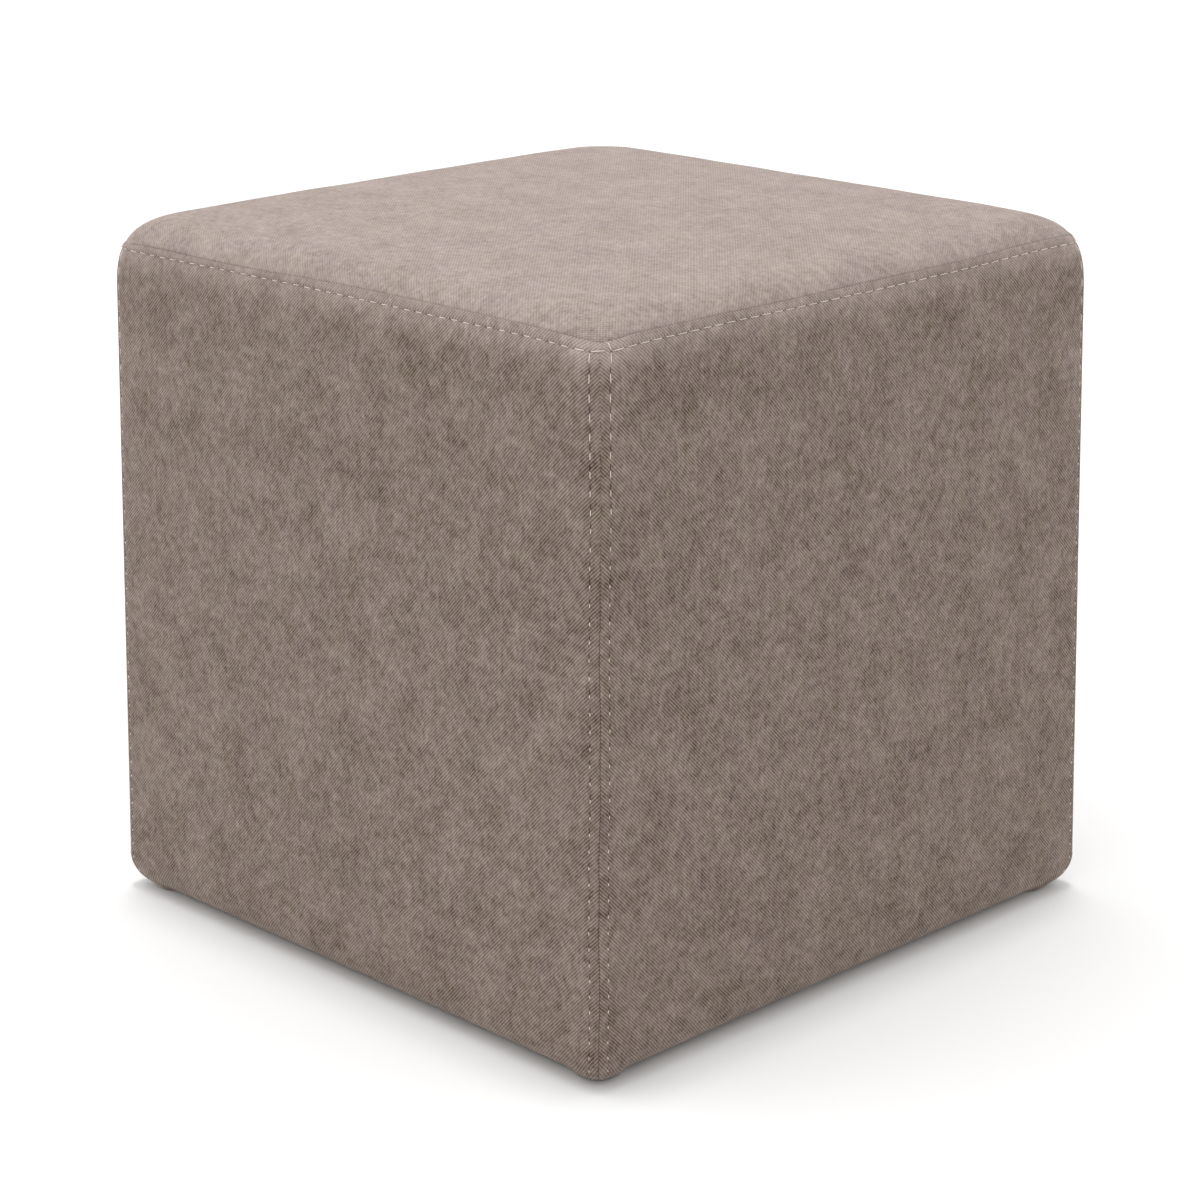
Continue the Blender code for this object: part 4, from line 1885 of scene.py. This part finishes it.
@dataclass(frozen=True)
class ThreadFinish:
    """Light beige sewing thread with its plies twisted together."""

    colour: tuple = (0.80, 0.70, 0.62, 1.0)
    shadow: tuple = (0.42, 0.34, 0.29, 1.0)
    turns: float = 7.0

    def material(self, name: str) -> bpy.types.Material:
        """Makes the material.

        Args:
            name: The material's name.

        Returns:
            The material.
        """
        graph = ShaderGraph(name)
        run = graph.node("ShaderNodeAttribute", {"attribute_name": "ply_run"}, {}, "Fac")
        place = graph.node("ShaderNodeAttribute", {"attribute_name": "ply_turn"}, {}, "Vector")
        side, up = graph.split(place)
        angle = run * (2 * math.pi * self.turns)
        cosine = (angle + math.pi / 2).sine()
        ply = angle.sine() * side + cosine * up
        groove = ply.absolute().step(0.45, 0.0)
        colour = graph.mixed(groove * 0.75, self.colour, self.shadow)
        bump = graph.bump(0.5, 0.08 * MM, 1.0 - groove)
        return graph.finish(
            {
                "Base Color": colour,
                "Roughness": 0.55,
                "Normal": bump,
                "Specular IOR Level": 0.5,
                "Sheen Weight": 0.3,
                "Sheen Roughness": 0.4,
            }
        )


@dataclass(frozen=True)
class LiningCloth:
    """The dark plain non-woven cloth under the stool."""

    colour: tuple = (0.030, 0.029, 0.028, 1.0)
    light: tuple = (0.050, 0.049, 0.047, 1.0)

    def material(self, name: str) -> bpy.types.Material:
        """Makes the material.

        Args:
            name: The material's name.

        Returns:
            The material.
        """
        graph = ShaderGraph(name)
        place = graph.node("ShaderNodeTexCoord", {}, {}, "Object")
        across, back = graph.split(place)
        dimple = (across * 2400.0).sine() * (back * 2400.0).sine()
        fibres = graph.noise(place, 900.0, 3.0, 0.6)
        colour = graph.mixed((fibres * 1.6 + 0.5).clipped(), self.colour, self.light)
        bump = graph.bump(0.5, 0.2 * MM, dimple + fibres)
        return graph.finish(
            {"Base Color": colour, "Roughness": 0.9 + fibres * 0.1, "Normal": bump, "Specular IOR Level": 0.3}
        )


# ------------------------------------------------------------------------------------------------- studio


@dataclass(frozen=True)
class Viewpoint:
    """The camera's place by its angles round the stool."""

    azimuth: float = math.radians(45.445)  # round to the right from straight in front
    elevation: float = math.radians(17.512)
    distance: float = 1.8014  # from the target
    aside: float = -0.00035  # the target's place to the right of the stool's axis, as the camera sees it
    target_height: float = 0.17416
    roll: float = math.radians(-0.127)
    lens: float = 95.008  # in millimetres, like the sensor's width
    sensor: float = 36.0

    def build(self) -> bpy.types.Object:
        """Makes the scene's camera.

        Returns:
            The camera's object.
        """
        sine, cosine = math.sin(self.azimuth), math.cos(self.azimuth)
        level = math.cos(self.elevation)
        back = Vector((sine * level, -cosine * level, math.sin(self.elevation)))
        right = Vector((cosine, sine, 0.0))
        up = back.cross(right)
        right, up = (
            right * math.cos(self.roll) + up * math.sin(self.roll),
            up * math.cos(self.roll) - right * math.sin(self.roll),
        )
        target = Vector((cosine * self.aside, sine * self.aside, self.target_height))
        place = target + back * self.distance
        data = bpy.data.cameras.new("camera")
        data.lens = self.lens
        data.sensor_width = self.sensor
        camera = bpy.data.objects.new("camera", data)
        camera.matrix_world = Matrix(
            (
                (right.x, up.x, back.x, place.x),
                (right.y, up.y, back.y, place.y),
                (right.z, up.z, back.z, place.z),
                (0.0, 0.0, 0.0, 1.0),
            )
        )
        bpy.context.scene.collection.objects.link(camera)
        bpy.context.scene.camera = camera
        return camera


@dataclass(frozen=True)
class SoftSun:
    """A far light that fills a disc of the sky."""

    name: str
    way: tuple  # the way its light travels
    angle: float  # the disc's width, in degrees
    strength: float

    def build(self) -> bpy.types.Object:
        """Makes the light.

        Returns:
            The light's object.
        """
        data = bpy.data.lights.new(self.name, "SUN")
        data.angle = math.radians(self.angle)
        data.energy = self.strength
        light = bpy.data.objects.new(self.name, data)
        light.rotation_euler = Vector(self.way).to_track_quat("-Z", "Y").to_euler()
        bpy.context.scene.collection.objects.link(light)
        return light


@dataclass(frozen=True)
class SoftBox:
    """A square light near the stool, which faces it."""

    name: str
    place: tuple
    size: float
    power: float
    target: tuple = (0.0, 0.0, 0.3)

    def build(self) -> bpy.types.Object:
        """Makes the light.

        Returns:
            The light's object.
        """
        data = bpy.data.lights.new(self.name, "AREA")
        data.size = self.size
        data.energy = self.power
        light = bpy.data.objects.new(self.name, data)
        light.location = self.place
        towards = Vector(self.target) - Vector(self.place)
        light.rotation_euler = towards.to_track_quat("-Z", "Y").to_euler()
        bpy.context.scene.collection.objects.link(light)
        return light


@dataclass(frozen=True)
class Studio:
    """The pale floor, the lights and the surroundings' glow."""

    floor_size: float = 30.0
    floor_drop: float = 0.2 * MM
    floor_colour: tuple = (0.86, 0.86, 0.86, 1.0)
    glow: float = 1.0
    glow_lean: float = 0.13  # how much brighter the room is to the left of the view than straight on
    leftwards: tuple = (-0.707, -0.707, 0.0)
    lights: tuple = (
        SoftSun("overhead", (0.045, -0.045, -1.0), 7.0, 0.80),
        SoftSun("overhead_halo", (0.0, 0.0, -1.0), 30.0, 0.30),
        SoftBox("left_softbox", (-0.6, -0.6, 2.2), 1.0, 5.0),
    )

    def build(self) -> None:
        """Makes the floor, lights and surroundings."""
        scene = bpy.context.scene
        shape = bmesh.new()
        bmesh.ops.create_grid(shape, x_segments=2, y_segments=2, size=self.floor_size / 2)
        bmesh.ops.translate(shape, vec=(0, 0, -self.floor_drop), verts=shape.verts)
        mesh = bpy.data.meshes.new("floor")
        shape.to_mesh(mesh)
        shape.free()
        floor = bpy.data.objects.new("floor", mesh)
        scene.collection.objects.link(floor)
        graph = ShaderGraph("floor")
        mesh.materials.append(
            graph.finish({"Base Color": self.floor_colour, "Roughness": 1.0, "Specular IOR Level": 0.0})
        )
        for light in self.lights:
            light.build()
        scene.world = self.room()
        scene.view_settings.view_transform = "Standard"

    def room(self) -> bpy.types.World:
        """The white room's glow, brighter to the left of the view.

        Returns:
            The world.
        """
        world = bpy.data.worlds.new("white_room")
        world.use_nodes = True
        tree = world.node_tree
        place = tree.nodes.new("ShaderNodeTexCoord")
        lean = tree.nodes.new("ShaderNodeVectorMath")
        lean.operation = "DOT_PRODUCT"
        lean.inputs[1].default_value = self.leftwards
        strength = tree.nodes.new("ShaderNodeMath")
        strength.operation = "MULTIPLY_ADD"
        strength.inputs[1].default_value = self.glow_lean
        strength.inputs[2].default_value = self.glow
        background = tree.nodes["Background"]
        background.inputs["Color"].default_value = (1.0, 1.0, 1.0, 1.0)
        tree.links.new(place.outputs["Object"], lean.inputs[0])
        tree.links.new(lean.outputs["Value"], strength.inputs[0])
        tree.links.new(strength.outputs[0], background.inputs["Strength"])
        return world


# --------------------------------------------------------------------------------------------------- main

SIDES = ("front_right", "back_right", "back_left", "front_left")


def dress(
    piece: bpy.types.Object, slot: str, nodes: tuple[str, ...] = ()
) -> None:
    """Attaches a piece to the stool's body, hides the CAD parts it replaces, and reports it.

    Args:
        piece: The piece.
        slot: The record's material slot.
        nodes: The CAD nodes it replaces.
    """
    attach(piece, BODY)
    if nodes:
        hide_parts(*nodes)
    LOG.info("%s: %d faces, finish %s", piece.name, len(piece.data.polygons), slot)


def main() -> None:
    """Builds the stool's pieces in order, then the studio and the camera."""
    logging.basicConfig(level=logging.INFO, format="%(name)s: %(message)s")
    Viewpoint().build()
    low, high = CAD_BOX
    cube = SoftCube(CubeSizes(height=high.z - low.z))
    swell = Swell(cube)
    swell.simulate()
    cube.swell = swell
    rows = Rows(cube, Sewing())
    # The sides and the top get darker and lighter copies of one cloth: painted shade and painted light.
    side_cloth_painted_shade = Upholstery.upright().material("side_cloth_painted_shade", rows)
    top_cloth = Upholstery.flat().material("top_cloth", rows)

    for number, side in enumerate(SIDES):
        name = "side_panel_" + side
        panel = SidePanel("sewn_" + name, number, cube, rows).build()
        panel.data.materials.append(side_cloth_painted_shade)
        dress(panel, "cloth", (name,))

    top = TopPanel("sewn_top_panel", cube).build()
    top.data.materials.append(top_cloth)
    dress(top, "cloth", ("top_panel",))

    base = BasePanel("underside_panel", cube).build()
    base.data.materials.append(LiningCloth().material("underside_cloth"))
    dress(base, "base_cloth", ("base_panel",))

    stitching = Topstitching(cube, rows)
    thread = ThreadFinish().material("beige_thread")
    for piece in stitching.build(thread):
        dress(piece, "thread")

    Studio().build()


if __name__ == "__main__":
    main()
